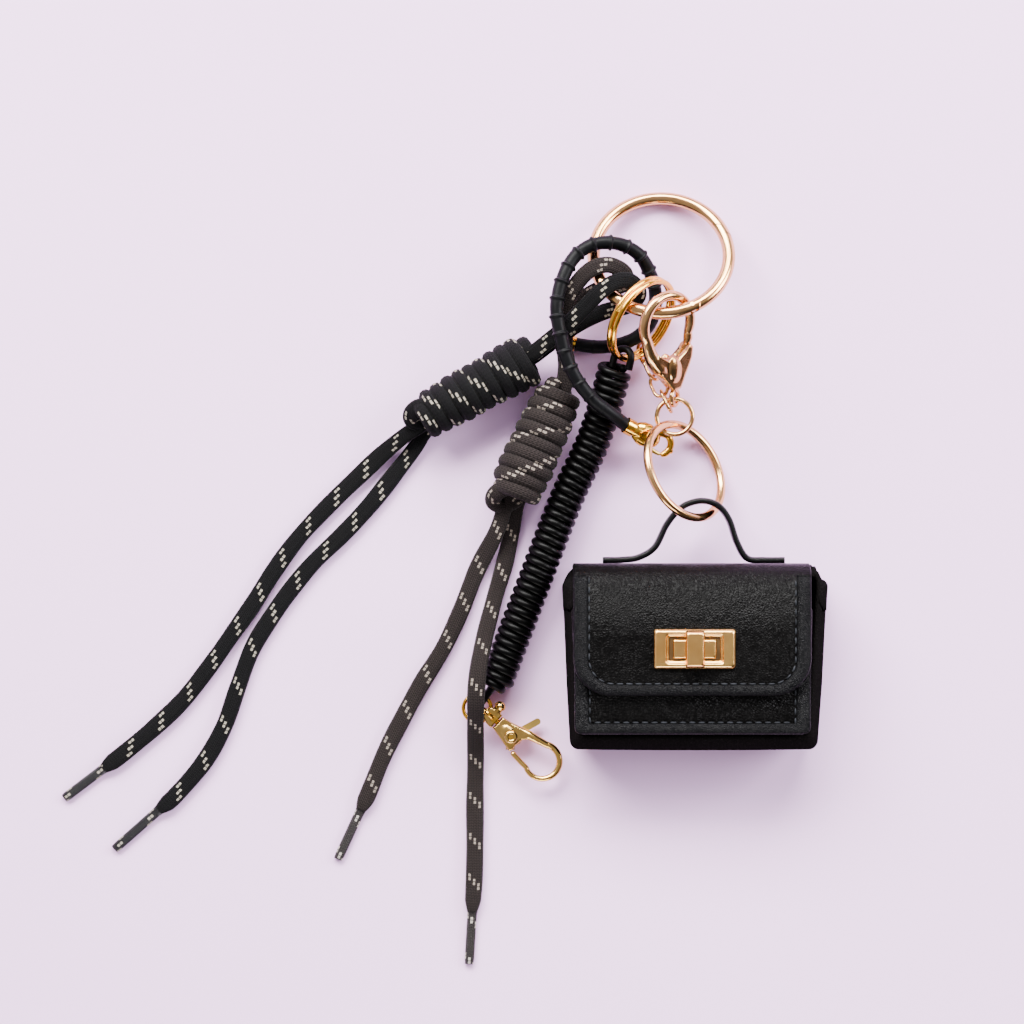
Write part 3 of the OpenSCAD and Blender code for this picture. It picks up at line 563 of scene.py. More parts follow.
# ---------------------------------------------------------------- wrist cord
WRIST = [
    [-20.6, 68.8, 10.7], [-25.6, 72.4, 14.4], [-30.6, 76.2, 16.6], [-35, 81.6, 18.2], [-38.2, 88, 19],
    [-40.2, 95.5, 19.4], [-41.2, 103, 19.2], [-39.6, 111, 18], [-35.8, 118.2, 16], [-30, 122, 14.8],
    [-23, 122.2, 14], [-17, 119.4, 12], [-13.4, 114.2, 8.8], [-11.6, 108.4, 6.4], [-12, 102.6, 6],
    [-14, 98, 6.4], [-18, 94.6, 6.2], [-23.4, 92.8, 4.4], [-29, 92.4, 2.6], [-35.4, 93.2, 2.3],
]
WRIST_RADIUS, WRIST_RING_PITCH = 2.0, 5.2
path = smooth_path(WRIST, 0.22)
s = arc_length(path)
side, up = lying_frames(path)
phase = (s / WRIST_RING_PITCH) % 1
# The rings fade out towards the two ends.
strength = np.interp(s, [6, 26, 92, 104], [0, 1, 1, 0.15])
radius = WRIST_RADIUS + strength * (0.16 * phase - 0.06 + 0.42 * np.exp(-(((phase - 0.9) / 0.07) ** 2)))
rubber = sweep("wrist_cord_rubber", path, side, up, circle(28)[None] * radius[:, None, None], cord_rubber)
settle(rubber, "cord_rubber", "keyring", "wrist_cord")


# ---------------------------------------------------------------- coil cord
COIL = [
    [-22.9, 87.5, 9.2], [-23.8, 85.2, 8.8], [-26.2, 76, 7], [-30.6, 63, 5.7], [-38.2, 46.5, 5.4],
    [-48.9, 19, 5.4], [-58.2, -5.6, 5.4], [-60.1, -10.2, 5.3],
]
COIL_OUTER, COIL_WIRE, COIL_TURNS = 5.3, 1.26, 40
spine = smooth_path(COIL, 0.4)
spine_s = arc_length(spine)
turn = np.linspace(0, COIL_TURNS, COIL_TURNS * 30)
place = np.interp(turn, [0, COIL_TURNS], [COIL_WIRE, spine_s[-1] - COIL_WIRE])
centre = np.stack([np.interp(place, spine_s, spine[:, i]) for i in range(3)], 1)
centre_side, centre_up = lying_frames(centre)
angle = 2 * math.pi * turn
radial = np.cos(angle)[:, None] * centre_side - np.sin(angle)[:, None] * centre_up
ease = np.interp(turn, [0, 0.5, COIL_TURNS - 0.5, COIL_TURNS], [0.55, 1, 1, 0.55])
path = centre + radial * ((COIL_OUTER - COIL_WIRE) * ease)[:, None]
t = tangents(path)
side = unit(np.cross(radial, t))
coil = sweep("coil_cord_helix", path, side, np.cross(t, side), circle(12) * COIL_WIRE, coil_plastic)
settle(coil, "coil_plastic", "keyring", "coil_cord")


# ---------------------------------------------------------------- bag
def outline_ring(top, bottom, left_top, right_top, left_low, right_low, corner_top, corner_low, per=9):
    """A closed outline, counter-clockwise from above, of a panel that narrows downwards."""
    corners = [
        (right_top, top, corner_top, 0), (left_top, top, corner_top, 90),
        (left_low, bottom, corner_low, 180), (right_low, bottom, corner_low, 270),
    ]
    arcs = []
    for x, y, r, turn_from in corners:
        cx = x - r if turn_from in (0, 270) else x + r
        cy = y - r if turn_from in (0, 90) else y + r
        a = np.radians(np.linspace(turn_from, turn_from + 90, per))
        arcs.append(np.stack([cx + r * np.cos(a), cy + r * np.sin(a)], 1))
    ring = []
    for i, arc in enumerate(arcs):
        after = arcs[(i + 1) % 4][0]
        ring.append(arc)
        ring.append(arc[-1] + (after - arc[-1]) * np.linspace(0, 1, 44)[1:-1, None])
    return np.vstack(ring)


STITCH_LONG, STITCH_THICK, STITCH_PITCH = 1.9, 0.26, 2.75


def stitches(name, line, z_of):
    """Sewn stitches along an edge line: short threads that dip into the leather at both ends."""
    verts, faces = [], []
    up = np.array([0.0, 0.0, 1.0])
    rings, sides = 7, 8
    for (x, y), (dx, dy) in even_points(line, STITCH_PITCH):
        point = np.array([x, y, z_of(x, y)])
        along = unit(np.array([dx, dy, 0.0]))
        across = np.cross(up, along)
        base = len(verts)
        for q in np.linspace(-1, 1, rings):
            r = STITCH_THICK * (1 - 0.45 * q * q)
            lift = 0.16 - 0.34 * q * q
            for k in range(sides):
                a = 2 * math.pi * k / sides
                spot = point + along * q * STITCH_LONG / 2 + across * r * math.cos(a)
                verts.append(spot + up * (lift + r * math.sin(a)))
        faces += [tuple(base + v for v in f) for f in tube_faces(rings, sides)]
    return mesh_object(name, verts, faces, thread)


# The shell: the back's rounded edge, gussets that bulge, the front's edge, and the inside down to the lining.
LEVELS = [
    # z, top, bottom, left top, right top, left low, right low, corner top, corner low
    (0.5, 25.6, -21.0, -36.2, 36.2, -34.6, 33.8, 3.0, 3.0),
    (0.05, 26.0, -22.4, -37.3, 37.3, -35.4, 34.6, 3.5, 3.5),
    (0.5, 26.6, -23.4, -38.2, 38.2, -36.0, 35.0, 3.5, 3.5),
    (2.2, 27.0, -24.4, -38.9, 38.8, -36.5, 35.4, 3.2, 3.2),
    (5.0, 27.4, -25.9, -39.4, 39.2, -36.9, 35.7, 3.0, 3.0),
    (8.5, 27.5, -26.9, -39.9, 39.5, -37.2, 36.0, 2.6, 2.8),
    (12.5, 27.5, -27.2, -40.0, 39.7, -37.2, 36.1, 2.4, 2.6),
    (16.5, 27.4, -26.7, -39.7, 39.4, -36.8, 35.8, 2.2, 2.5),
    (20.0, 27.1, -25.6, -38.9, 38.5, -36.2, 34.9, 2.0, 2.4),
    (22.6, 26.4, -24.5, -37.9, 37.2, -35.6, 33.9, 1.8, 2.2),
    (23.8, 25.6, -23.6, -37.2, 36.2, -35.0, 33.1, 1.6, 2.0),
    (24.3, 24.6, -22.8, -36.4, 35.4, -34.4, 32.4, 1.4, 1.8),
    (23.8, 23.8, -22.0, -35.6, 34.6, -33.6, 31.6, 1.2, 1.6),
    (20.0, 24.4, -22.8, -36.4, 36.0, -34.0, 32.4, 1.2, 1.6),
    (12.0, 24.6, -23.6, -37.0, 36.8, -34.6, 33.0, 1.2, 1.6),
    (3.4, 24.2, -21.4, -35.8, 35.6, -33.6, 32.2, 1.2, 1.6),
    (2.2, 23.2, -20.0, -34.6, 34.4, -32.6, 31.2, 1.2, 1.6),
]
OUTER_LEVELS = 12
FOLD_DEPTH, FOLD_Z, FOLD_SPREAD = 1.1, 13, 5.0
GUSSET_DROP, BASE_SAG = 4.2, 0.3
verts = []
for level, (z, *shape) in enumerate(LEVELS):
    ring = outline_ring(*shape)
    # The gussets fold inwards a little along their middle, more towards the mouth.
    fold = FOLD_DEPTH * math.exp(-(((z - FOLD_Z) / FOLD_SPREAD) ** 2)) if level < OUTER_LEVELS else 0
    mid = np.clip((ring[:, 1] + 8) / 30, 0, 1)
    at_side = np.abs(ring[:, 0]) > 33
    # The gussets stop short of the top edge.
    beside = np.clip((np.abs(ring[:, 0] + 0.3) - 35.3) / 1.3, 0, 1)
    step = GUSSET_DROP * beside**2 * (3 - 2 * beside) * min(z / 4, 1)
    ring[:, 1] = np.where(ring[:, 1] > 18, ring[:, 1] - step, ring[:, 1])
    ring[:, 0] -= np.sign(ring[:, 0]) * fold * mid * at_side
    # The base bows out between its corners.
    ring[:, 1] -= BASE_SAG * np.cos(ring[:, 0] / 38 * math.pi / 2) * (ring[:, 1] < -20) * (4 < z < 22)
    verts += [(x, y, z) for x, y in ring]
faces = tube_faces(len(LEVELS), len(verts) // len(LEVELS))
shell = mesh_object("bag_shell_leather", verts, faces, shell_leather)
settle(shell, "black_leather", "bag", "bag_back", "bag_top", "bag_gusset_left", "bag_gusset_right",
       "bag_base", "bag_lining")


FLAP_MID, FLAP_WIDE, FLAP_LOW, FLAP_CORNER = -1.9, 69.4, -10.4, 11.0
FLAP_THICK, FLAP_RIM = 1.5, 0.35
FLAP_PROFILE = smooth_path([
    [27.4, 0, 17.5], [27.9, 0, 20.5], [28.0, 0, 23.2], [27.5, 0, 25.7], [26.2, 0, 27.6], [24.0, 0, 28.75],
    [20.5, 0, 29.25], [15, 0, 29.4], [8, 0, 29.4], [0, 0, 29.4], [-6, 0, 29.35], [FLAP_LOW, 0, 29.2],
], 0.7)[:, [0, 2]]


def flap_half(y):
    """Half the width of the flap, with its round lower corners, at height y."""
    if y >= FLAP_LOW + FLAP_CORNER:
        return FLAP_WIDE / 2
    return FLAP_WIDE / 2 - FLAP_CORNER + math.sqrt(max(0, FLAP_CORNER**2 - (FLAP_LOW + FLAP_CORNER - y) ** 2))


def flap_droop(x):
    """How far the flap sinks towards its sides."""
    return 0.55 * (abs(x - FLAP_MID) / (FLAP_WIDE / 2)) ** 4


def flap_z(x, y):
    """The height of the flap's face."""
    return np.interp(-y, -FLAP_PROFILE[6:, 0], FLAP_PROFILE[6:, 1]) - flap_droop(x)


def flap_rows():
    """Points down the flap's profile with the face's direction at each, closer where the corners turn."""
    normals = unit(np.stack([np.gradient(FLAP_PROFILE[:, 1]), -np.gradient(FLAP_PROFILE[:, 0])], 1))
    if normals[-5, 1] < 0:
        normals = -normals
    rows = [r for r in zip(FLAP_PROFILE, normals) if r[0][0] > FLAP_LOW + FLAP_CORNER + 0.1]
    for y in FLAP_LOW + FLAP_CORNER * (1 - np.cos(np.linspace(0, math.pi / 2, 16)))[::-1]:
        z = np.interp(-y, -FLAP_PROFILE[:, 0], FLAP_PROFILE[:, 1])
        rows.append((np.array([y, z]), np.array([0.0, 1.0])))
    return rows


def flap_sheet(name, columns=61):
    """The flap: an upper face, an under face and a rounded rim, as one closed mesh."""
    rows = flap_rows()
    count = len(rows)
    verts = []
    for drop in (0.0, -FLAP_THICK):
        for (y, z), (ny, nz) in rows:
            half = flap_half(y) - FLAP_RIM
            for k in range(columns):
                x = FLAP_MID + half * (2 * k / (columns - 1) - 1)
                verts.append((x, max(y, FLAP_LOW + FLAP_RIM) + ny * drop, z + nz * drop - flap_droop(x)))
    upper = grid_faces(count, columns, False)
    under = [tuple(v + count * columns for v in f[::-1]) for f in upper]
    border = [*range(columns)]
    border += [row * columns + columns - 1 for row in range(1, count)]
    border += [(count - 1) * columns + k for k in range(columns - 2, -1, -1)]
    border += [row * columns for row in range(count - 2, 0, -1)]
    loops = [border]
    for grow, share in ((-0.1, 0.25), (0.0, 0.5), (-0.1, 0.75)):
        loop = []
        for b in border:
            top, low = np.array(verts[b]), np.array(verts[b + count * columns])
            row, k = divmod(b, columns)
            out = np.zeros(3)
            if k in (0, columns - 1):
                out[0] = -1 if k == 0 else 1
            if row == count - 1:
                out[1] = -1
            loop.append(len(verts))
            verts.append(tuple(top + (low - top) * share + out * (grow + FLAP_RIM)))
        loops.append(loop)
    loops.append([b + count * columns for b in border])
    rim = []
    for a, b in zip(loops, loops[1:]):
        for i in range(len(border)):
            j = (i + 1) % len(border)
            rim.append((a[i], b[i], b[j], a[j]))
    return mesh_object(name, verts, upper + under + rim, flap_leather)


flap = flap_sheet("flap_leather")
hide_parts("bag_flap")
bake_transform(flap)


def edge_point(q, top, half, corner, mid, low):
    """A point at share q of the way down one side, round a corner, along the bottom and up the other side."""
    side_long = top - (low + corner)
    bottom = 2 * (half - corner)
    quarter = corner * math.pi / 2
    total = 2 * side_long + 2 * quarter + bottom
    d = q * total
    if d < side_long:
        return np.array([mid - half, top - d])
    d -= side_long
    if d < quarter:
        a = math.pi + d / corner
        return np.array([mid - half + corner + corner * math.cos(a), low + corner + corner * math.sin(a)])
    d -= quarter
    if d < bottom:
        return np.array([mid - half + corner + d, low])
    d -= bottom
    if d < quarter:
        a = 1.5 * math.pi + d / corner
        return np.array([mid + half - corner + corner * math.cos(a), low + corner + corner * math.sin(a)])
    return np.array([mid + half, low + corner + (d - quarter)])


def even_points(line, pitch):
    """Points an even pitch apart along an edge line, with the line's direction at each."""
    path = np.array([edge_point(q, *line) for q in np.linspace(0, 1, 900)])
    s = arc_length(path)
    at = np.arange(pitch / 2, s[-1], pitch)
    p = np.stack([np.interp(at, s, path[:, 0]), np.interp(at, s, path[:, 1])], 1)
    d = np.stack([np.interp(at + 0.4, s, path[:, 0]), np.interp(at + 0.4, s, path[:, 1])], 1) - p
    return zip(p, d)


def band(name, outer, inner, height, z_of, samples=200):
    """A raised strip round three sides of a panel, between two edge lines.
    A line is (top, half width, corner radius, middle, bottom)."""
    section = [(0.0, 0.0), (0.02, 0.55), (0.12, 0.9), (0.5, 1.0), (0.85, 0.95), (0.97, 0.6), (1.0, 0.0)]
    count = len(section)
    verts = []
    for q in np.linspace(0, 1, samples):
        a, b = edge_point(q, *outer), edge_point(q, *inner)
        for share, rise in section:
            x, y = a + (b - a) * share
            verts.append((x, y, z_of(x, y) + rise * height - 0.12 * (rise == 0)))
    faces = [f[::-1] for f in grid_faces(samples, count, True)] + end_caps(samples, count)
    return mesh_object(name, verts, faces, band_leather)


flap_band = band("flap_band_leather", (24.6, 34.55, 10.9, FLAP_MID, -10.3), (24.6, 30.3, 7.4, FLAP_MID, -7.2),
                 0.62, flap_z)
settle(flap_band, "black_leather", "flap", "flap_binding")
flap_stitches = stitches("flap_stitches", (24.4, 30.0, 7.2, FLAP_MID, -6.9),
                         lambda x, y: flap_z(x, y) + 0.16)
settle(flap_stitches, "black_leather", "flap")

# The front panel, with its own band and stitches.
FRONT_MID, FRONT_FACE = -1.7, 26.55
front = outline_ring(15.0, -21.9, -37.0, 33.4, -35.4, 32.2, 1.0, 2.2)
front_levels = [(24.4, -1.4), (24.9, -0.3), (25.6, 0.0), (26.25, -0.15), (26.6, -0.6)]
front_centre = front.mean(0)
verts = []
for z, grow in front_levels:
    scale = np.array([1 + grow / 34.5, 1 + grow / 18])
    verts += [(x, y, z) for x, y in front_centre + (front - front_centre) * scale]
faces = tube_faces(len(front_levels), len(front))
front_panel = mesh_object("front_panel_leather", verts, faces, panel_leather)
settle(front_panel, "black_leather", "bag", "bag_front")
front_band = band("front_band_leather", (14.6, 34.4, 1.8, FRONT_MID, -21.6),
                  (14.6, 30.2, 0.6, FRONT_MID, -18.6), 0.5, lambda x, y: FRONT_FACE)
settle(front_band, "black_leather", "bag")
front_stitches = stitches("front_stitches", (14, 29.9, 0.5, FRONT_MID, -18.3),
                          lambda x, y: FRONT_FACE + 0.07)
settle(front_stitches, "black_leather", "bag")

# The strap stands on edge.
STRAP_THICK, STRAP_WIDE, STRAP_Z = 1.9, 5.5, 14.5
HANDLE = [
    [-27.5, 28.8], [-22, 28.9], [-17, 29.6], [-12.2, 32.6], [-8.9, 38.9], [-6.2, 42.5], [-2.9, 45.2],
    [2, 46.3], [6.5, 44.9], [9.7, 40.8], [12, 34.2], [15, 29.4], [20, 28.8], [26, 28.8],
]
path = smooth_path([[x, y, STRAP_Z] for x, y in HANDLE], 0.5)
side, up = lying_frames(path)
strap_section = lace_section(STRAP_THICK, STRAP_WIDE, 0, 0.55, 36)
strap = sweep("strap_leather", path, side, up, strap_section, strap_leather)
settle(strap, "black_leather", "bag", "bag_handle")


# ---------------------------------------------------------------- metal
def paint(material, *names):
    """Puts a material on CAD nodes that are shown as they are."""
    for n in names:
        mesh = nodes[n].data
        mesh.materials.clear()
        mesh.materials.append(material)
        mesh.polygons.foreach_set("material_index", [0] * len(mesh.polygons))


paint(rose_gold, "gate_ring_body", "ring_gate", "ring_hinge_pin", "lobster_pin", "lobster_eye",
      *(f"chain_link_{k}" for k in range(1, 5)), "jump_ring", "charm_ring")
paint(yellow_gold, "split_ring", "coil_ring", "snap_eye", "snap_rivet", "wrist_cord_cap", "wrist_cord_end")
paint(dull_gold, "snap_trigger")
paint(steel, "ring_gate_spring", "lobster_spring", "flap_magnet", "front_magnet", "lock_washer",
      "snap_spring")
paint(coil_plastic, "coil_top_loop", "coil_end_loop")


def carried_frames(path):
    """Side and up directions carried along a path without twist."""
    t = tangents(path)
    first = np.cross(t[0], [0, 0, 1.0])
    if np.linalg.norm(first) < 0.1:
        first = np.cross(t[0], [0, 1.0, 0])
    side = [unit(first)]
    for k in range(1, len(t)):
        v = side[-1] - t[k] * np.dot(side[-1], t[k])
        side.append(unit(v))
    side = np.array(side)
    return side, np.cross(t, side)


def tube_part(points, radii, flat=1.0, step=0.25):
    """A closed tube with round ends and a radius at each point; flat squeezes its thickness."""
    path = smooth_path(points, step)
    s = arc_length(path)
    marks = arc_length(np.array(points, float))
    radius = np.interp(s / s[-1], marks / marks[-1], radii)
    side, up = carried_frames(path)
    t = tangents(path)
    # Each ring is (index on the path, share of the end's radius that it stands past the end).
    dome = (0.4, 0.7, 0.9, 0.995)
    rings = [(0, -q) for q in dome[::-1]] + [(k, 0) for k in range(len(path))] + [(-1, q) for q in dome]
    verts = []
    for k, q in rings:
        middle = path[k] + t[k] * radius[k] * q
        r = radius[k] * math.sqrt(1 - q * q)
        verts += [middle + side[k] * x * r + up[k] * y * r * flat for x, y in circle(24)]
    return verts, tube_faces(len(rings), 24)


def rounded_part(outline, z_low, z_high, round_edge):
    """A plate with this convex or gently hollow outline and rounded edges."""
    outline = np.array(outline, float)
    middle = outline.mean(0)
    reach = np.linalg.norm(outline - middle, axis=1, keepdims=True)
    rows = []
    for q in np.linspace(0, math.pi / 2, 5):
        rows.append((round_edge * (1 - math.sin(q)), z_low + round_edge * (1 - math.cos(q))))
    rows += [(inset, z_high - (z - z_low)) for inset, z in rows[::-1]]
    verts = []
    for inset, z in rows:
        ring = middle + (outline - middle) * (1 - inset / reach)
        verts += [np.array([x, y, z]) for x, y in ring]
    return verts, tube_faces(len(rows), len(outline))


def ball_part(centre, size):
    """A ball stretched to these half sizes."""
    centre = np.array(centre)
    verts, faces = tube_part([centre - [1e-3, 0, 0], centre, centre + [1e-3, 0, 0]], [1, 1, 1], step=0.001)
    v = np.array(verts) - centre
    return list(v * np.array(size) + centre), faces


def applied(obj):
    """The object's mesh with its modifiers applied."""
    evaluated = obj.evaluated_get(bpy.context.evaluated_depsgraph_get())
    mesh = bpy.data.meshes.new_from_object(evaluated)
    obj.modifiers.clear()
    obj.data = mesh
    return obj


def fused(name, parts, place, material, voxel=0.15, soften=6, cuts=()):
    """One cast piece: the parts run together, softened where they meet, less the cuts."""
    verts, faces = [], []
    for part_verts, part_faces in parts:
        base = len(verts)
        verts += list(part_verts)
        faces += [tuple(base + v for v in f) for f in part_faces]
    obj = mesh_object(name, verts, faces, material)
    remesh = obj.modifiers.new("remesh", "REMESH")
    remesh.mode = "VOXEL"
    remesh.voxel_size = voxel * MM
    remesh.use_smooth_shade = True
    soft = obj.modifiers.new("soften", "SMOOTH")
    soft.factor = 0.5
    soft.iterations = soften
    applied(obj)
    for low, high in cuts:
        corners = [(x, y, z) for x in (low[0], high[0]) for y in (low[1], high[1]) for z in (low[2], high[2])]
        box_faces = [(0, 1, 3, 2), (4, 6, 7, 5), (0, 4, 5, 1), (2, 3, 7, 6), (0, 2, 6, 4), (1, 5, 7, 3)]
        cutter = mesh_object(name + "_cutter", corners, box_faces, material, smooth=False)
        cut = obj.modifiers.new("cut", "BOOLEAN")
        cut.operation = "DIFFERENCE"
        cut.object = cutter
        bpy.context.view_layer.update()
        applied(obj)
        bpy.data.objects.remove(cutter)
    obj.data.materials.clear()
    obj.data.materials.append(material)
    obj.data.polygons.foreach_set("material_index", [0] * len(obj.data.polygons))
    obj.data.polygons.foreach_set("use_smooth", [True] * len(obj.data.polygons))
    obj.data.transform(place)
    return obj


def placed(at, *turns):
    """A matrix that turns about each axis in order, then moves to a place in millimetres."""
    m = Matrix.Identity(4)
    for axis, degrees in turns:
        m = Matrix.Rotation(math.radians(degrees), 4, axis) @ m
    return Matrix.Translation(Vector(at) * MM) @ m


def ring_points(centre, radius, start, stop, count):
    a = np.radians(np.linspace(start, stop, count))
    return [[centre[0] + radius * math.cos(q), centre[1] + radius * math.sin(q), centre[2]] for q in a]


# The large lobster clasp: a cast hook and body in one piece.
LOBSTER = placed([-8.7, 98.2, 18.8], ("Y", 33), ("X", 24), ("Z", 7.1))
arm = ring_points([0, 0, 0], 8.6, -31, 200, 22)
arm += [[-7.7, -5.4, 0], [-6.7, -8.8, 0], [-4.6, -12.4, 0], [-1.8, -16, 0]]
hook = tube_part(arm, [1.35] + [1.5] * 12 + [1.6] * 9 + [1.8, 2.2, 2.5, 2.1])
body = rounded_part([
    (6.4, -7.6), (4.8, -9.2), (2.4, -10.5), (-0.4, -10.9), (-3.0, -10.0), (-5.6, -7.6), (-7.0, -8.8),
    (-6.5, -11.6), (-5.2, -14.6), (-3.4, -17.6), (-2.1, -19.6), (-1.3, -20.6), (1.3, -20.6), (2.3, -19.2),
    (3.8, -16.9), (5.7, -14), (7.0, -11.4), (7.5, -8.8)], -2.3, 2.3, 1.0)
drop = ball_part([-0.6, -13.8, 1.9], [2.4, 4.2, 1.3])
drop_back = ball_part([-0.6, -13.8, -1.9], [2.4, 4.2, 1.3])
lobster = fused("lobster_cast_body", [hook, body, drop, drop_back], LOBSTER, rose_gold, 0.15, 12,
                [((2.1, -15.4, -0.95), (9, -6, 0.95))])
settle(lobster, "rose_gold", "keyring", "lobster_body")
lever = fused("lobster_cast_lever", [
    tube_part([[4.0, -13, 0], [5.4, -11, 0], [6.7, -8.0, 0]], [1.2, 1.3, 1.3], flat=0.64),
    tube_part([[6.5, -7.6, 0], [7.0, -6.6, 0], [7.2, -5.3, 0]], [1.2, 1.45, 1.4], flat=0.95)],
    LOBSTER, rose_gold, 0.13, 2)
settle(lever, "rose_gold", "lobster_arm", "lobster_lever")

# The snap hook: a tapered plate that runs into a teardrop of wire.
SNAP = placed([-54.6, -24.1, 3.9], ("Z", -42.6))
plate = rounded_part([
    (-5.9, -1.7), (-4.6, -2.0), (-2, -2.6), (0.6, -3.2), (2.5, -3.6), (3.0, -2.8), (2.8, -0.6), (3.2, 1.7),
    (4.4, 3.0), (5.0, 4.0), (4.4, 5.0), (2.4, 4.7), (0, 4.1), (-3, 3.2), (-4.9, 2.8), (-5.9, 2.6)],
    -1.6, 1.6, 0.9)
wire = [[0.6, 3.2, 0.3], [3.6, 4.0, 0.6], [6.4, 4.7, 0.7]]
wire += ring_points([11.8, 0.9, 0.7], 5.2, 118, -118, 26)
wire += [[7.4, -3.6, 0.7], [5.6, -3.45, 0.7], [3.9, -3.3, 0.7]]
teardrop = tube_part(wire, [1.2, 1.35, 1.2] + list(np.linspace(1.05, 0.8, 26)) + [0.8, 0.8, 0.8])
dome = ball_part([-1.3, 0.35, 0.1], [4.6, 2.7, 2.15])
snap = fused("snap_cast_body", [plate, dome, teardrop], SNAP, snap_gold, 0.14, 4,
             [((-1.9, -5, -1.4), (7, 7, -0.2))])
settle(snap, "yellow_gold", "snap", "snap_body")

# The swivel's head: a block with a stud on its corner, which stays with the eye while the hook turns.
head = fused("snap_swivel_head", [
    rounded_part([(-10.6, -1.6), (-8, -2.1), (-6.2, -2.1), (-6.2, 3.0), (-8, 3.1), (-10.4, 2.7), (-11, 1.6),
                  (-11, -0.6)], -1.7, 1.7, 0.7),
    tube_part([[-8.2, 2.6, 0.4], [-8.4, 3.6, 0.5], [-8.5, 4.3, 0.5]], [1.4, 1.3, 1.75])],
    SNAP, snap_gold, 0.13, 3)
settle(head, "yellow_gold", "keyring")

# The rivet's ring and dimple.
RIVET_Z, RIVET_SIDES = 2.3, 40
rivet_profile = [(0.6, -0.2), (0.8, 0.1), (1.05, 0.3), (1.45, 0.32), (1.75, 0.15), (1.95, -0.1), (1.95, -0.6)]
verts = [(radius * math.cos(a), radius * math.sin(a), RIVET_Z + z) for radius, z in rivet_profile
         for a in np.linspace(0, 2 * math.pi, RIVET_SIDES, endpoint=False)]
faces = [f[::-1] for f in tube_faces(len(rivet_profile), RIVET_SIDES)]
rivet = mesh_object("snap_rivet_head", verts, faces, snap_gold)
rivet.data.transform(SNAP)
settle(rivet, "yellow_gold", "snap")

# The small clasp at the wrist cord's end.
CLASP = placed([-20.6, 68.8, 10.7], ("Y", 18), ("Z", -28))
small_hook = tube_part(ring_points([12.4, 0, 0], 3.3, -46, 166, 22) + [[8.0, 0.9, 0]],
                       [0.85] + [1.05] * 12 + [1.25] * 9 + [1.6])
small_body = ball_part([7.0, 0.2, 0], [4.9, 3.7, 2.2])
neck = tube_part([[2.2, 0, 0], [3.4, 0, 0], [5.0, 0, 0]], [1.7, 2.0, 2.2])
bead = ball_part([16.3, -0.4, 0], [0.9, 0.9, 0.9])
clasp = fused("cord_clasp_cast", [small_hook, small_body, neck, bead], CLASP, yellow_gold, 0.12, 4,
              [((7.0, -4.4, -0.75), (11, 0.2, 0.75))])
settle(clasp, "yellow_gold", "keyring", "cord_clasp_body")
small_lever = fused("cord_clasp_arm", [
    tube_part([[8.2, -1.2, 0], [10.2, -2.5, 0], [12, -2.85, 0], [13.4, -2.8, 0]], [0.9, 0.72, 0.65, 0.6])],
    CLASP, dull_gold, 0.1, 2)
settle(small_lever, "yellow_gold", "clasp_arm", "cord_clasp_lever")


# The turn lock: a bevelled frame, the plate in its window and the knob across it.
LOCK = placed([-1.3, 3.3, 29.4])


def rounded_ring(wide, high, corner):
    points = []
    for cx, cy, start in ((1, 1, 0), (-1, 1, 90), (-1, -1, 180), (1, -1, 270)):
        for a in np.radians(np.linspace(start, start + 90, 8)):
            points.append((cx * (wide / 2 - corner) + corner * math.cos(a),
                           cy * (high / 2 - corner) + corner * math.sin(a)))
    return points


def lofted(name, rings, material, hollow=False):
    """A closed piece of the lock through rounded oblongs, each (wide, high, corner, z).
    hollow joins the last to the first."""
    verts = [(x, y, z) for *shape, z in rings for x, y in rounded_ring(*shape)]
    count = len(verts) // len(rings)
    faces = grid_faces(len(rings), count, True)
    if hollow:
        last = (len(rings) - 1) * count
        faces += [(last + k, last + (k + 1) % count, (k + 1) % count, k) for k in range(count)]
    else:
        faces += end_caps(len(rings), count)
    obj = mesh_object(name, verts, faces, material)
    bevel_normals = obj.modifiers.new("normals", "WEIGHTED_NORMAL")
    bevel_normals.keep_sharp = True
    applied(obj)
    obj.data.transform(LOCK)
    return obj


frame_rings = [
    (23.7, 11.5, 0.9, 0.0), (23.8, 11.6, 0.9, 0.25), (23.8, 11.6, 0.9, 0.55),
    (23.5, 11.3, 0.85, 0.85), (22.7, 10.5, 0.8, 1.3), (22.2, 10.0, 0.8, 1.45),
    (21.7, 9.6, 0.8, 1.5), (17.3, 9.0, 0.9, 1.5), (16.8, 8.6, 0.9, 1.42),
    (16.4, 8.2, 0.8, 1.2), (16.2, 8.0, 0.7, 0.9), (15.4, 7.4, 0.5, 0.86),
    (15.1, 7.1, 0.45, 0.78), (14.9, 6.9, 0.4, 0.6), (14.9, 6.9, 0.4, 0.0),
]
lock_frame = lofted("lock_frame_bevelled", frame_rings, lock_lit_gold, True)
settle(lock_frame, "rose_gold", "flap", "lock_frame")
# The window's floor is dark: painted shade in the gaps round the plate.
window_floor = lofted("lock_window_floor", [(15.6, 7.6, 0.4, 0.02), (15.6, 7.6, 0.4, 0.12)], lock_painted_shade)
settle(window_floor, "rose_gold", "flap")
block = lofted("lock_block_bevelled", [
    (12.4, 5.5, 0.5, 0.1), (12.5, 5.6, 0.5, 0.8), (12.3, 5.4, 0.5, 1.15),
    (11.7, 4.8, 0.5, 1.4), (11.2, 4.3, 0.5, 1.45)], lock_lit_gold)
settle(block, "rose_gold", "flap", "lock_block")
knob = lofted("lock_knob_bevelled", [
    (5.3, 10.4, 0.7, 1.75), (5.6, 10.8, 0.8, 1.9), (5.7, 10.9, 0.8, 2.2),
    (5.7, 10.9, 0.8, 3.0), (5.5, 10.7, 0.8, 3.4), (4.9, 9.7, 0.7, 4.1),
    (4.5, 9.2, 0.6, 4.35), (3.9, 8.6, 0.5, 4.45)], lock_lit_gold)
settle(knob, "rose_gold", "turn_knob", "lock_knob")


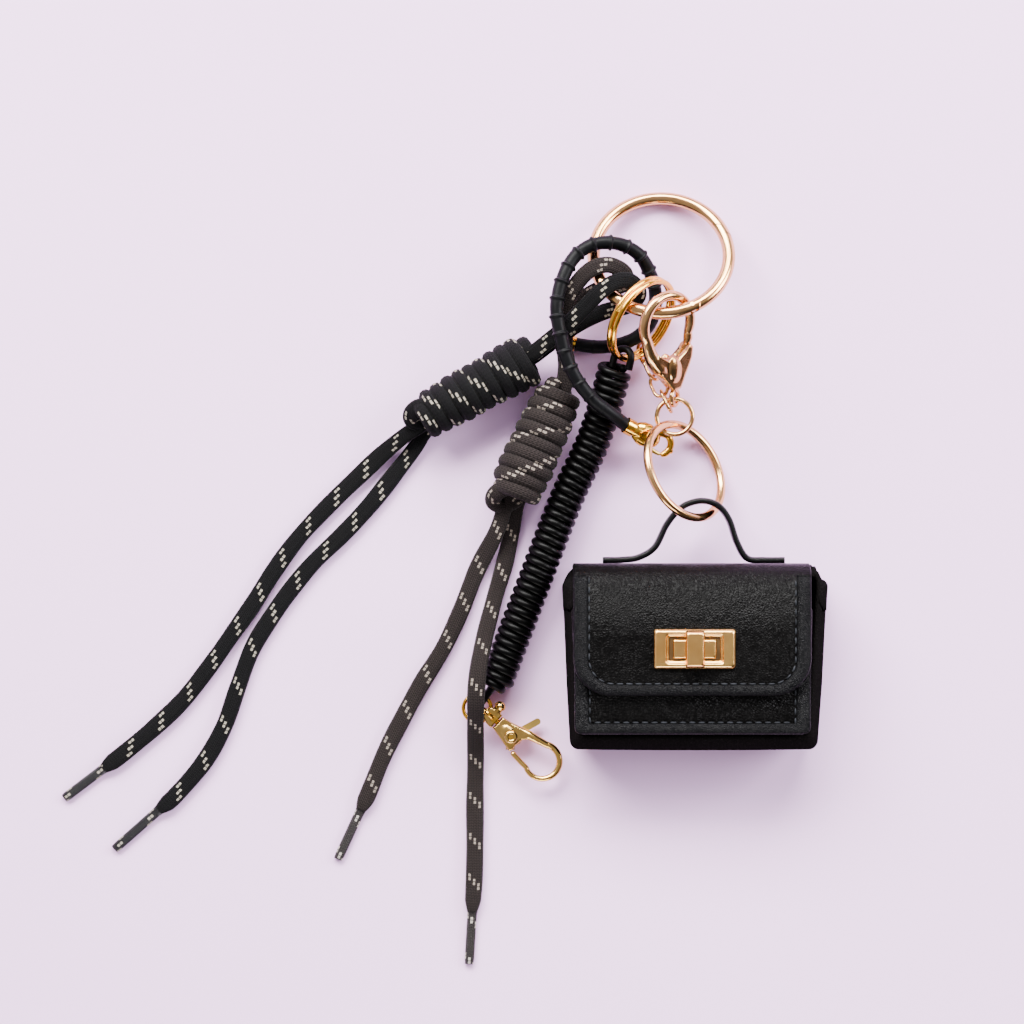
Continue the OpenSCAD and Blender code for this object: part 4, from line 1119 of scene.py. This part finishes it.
# ---------------------------------------------------------------- floor
s = Shader("pale_lilac_board")
p = s.place()
tone = s.mix(s.spread(s.noise(p, 3, 2), 0, 1), (0.90, 0.57, 0.95), (0.94, 0.61, 0.98))
board = s.set(Base_Color=tone, Roughness=s.spread(s.noise(p, 400, 3), 0.7, 0.85), Specular_IOR_Level=0.2,
              Normal=s.bump(s.noise(p, 1800, 3), 0.00002, 0.3))
REACH = 3000
floor = mesh_object("floor", [(-REACH, -REACH, 0), (REACH, -REACH, 0), (REACH, REACH, 0), (-REACH, REACH, 0)],
                    [(0, 1, 2, 3)], board, smooth=False)

world = bpy.data.worlds.new("studio")
bpy.context.scene.world = world
world.use_nodes = True
sky = world.node_tree.nodes
join = world.node_tree.links.new
direction = sky.new("ShaderNodeTexCoord").outputs["Generated"]
height = sky.new("ShaderNodeSeparateXYZ")
shade = sky.new("ShaderNodeValToRGB")
join(direction, height.inputs[0])
join(height.outputs["Z"], shade.inputs["Fac"])
# A pale room with a darker ceiling straight above.
shade.color_ramp.elements[0].color = (0.75, 0.72, 0.76, 1)
shade.color_ramp.elements[1].color = (0.44, 0.42, 0.44, 1)
shade.color_ramp.elements[1].position = 0.97
middle = shade.color_ramp.elements.new(0.6)
middle.color = (0.47, 0.45, 0.48, 1)
# The room is dimmer towards the lower right.
toward = sky.new("ShaderNodeVectorMath")
toward.operation = "DOT_PRODUCT"
toward.inputs[1].default_value = (0.55, -0.83, 0)
join(direction, toward.inputs[0])
dim = sky.new("ShaderNodeMapRange")
for socket, value in (("From Min", 0.1), ("From Max", 0.75), ("To Min", 1.0), ("To Max", 0.12)):
    dim.inputs[socket].default_value = value
join(toward.outputs["Value"], dim.inputs["Value"])
room = sky.new("ShaderNodeMixRGB")
room.blend_type = "MULTIPLY"
room.inputs["Fac"].default_value = 1.0
join(shade.outputs["Color"], room.inputs["Color1"])
join(dim.outputs["Result"], room.inputs["Color2"])
join(room.outputs["Color"], sky["Background"].inputs["Color"])
sky["Background"].inputs["Strength"].default_value = 1.1
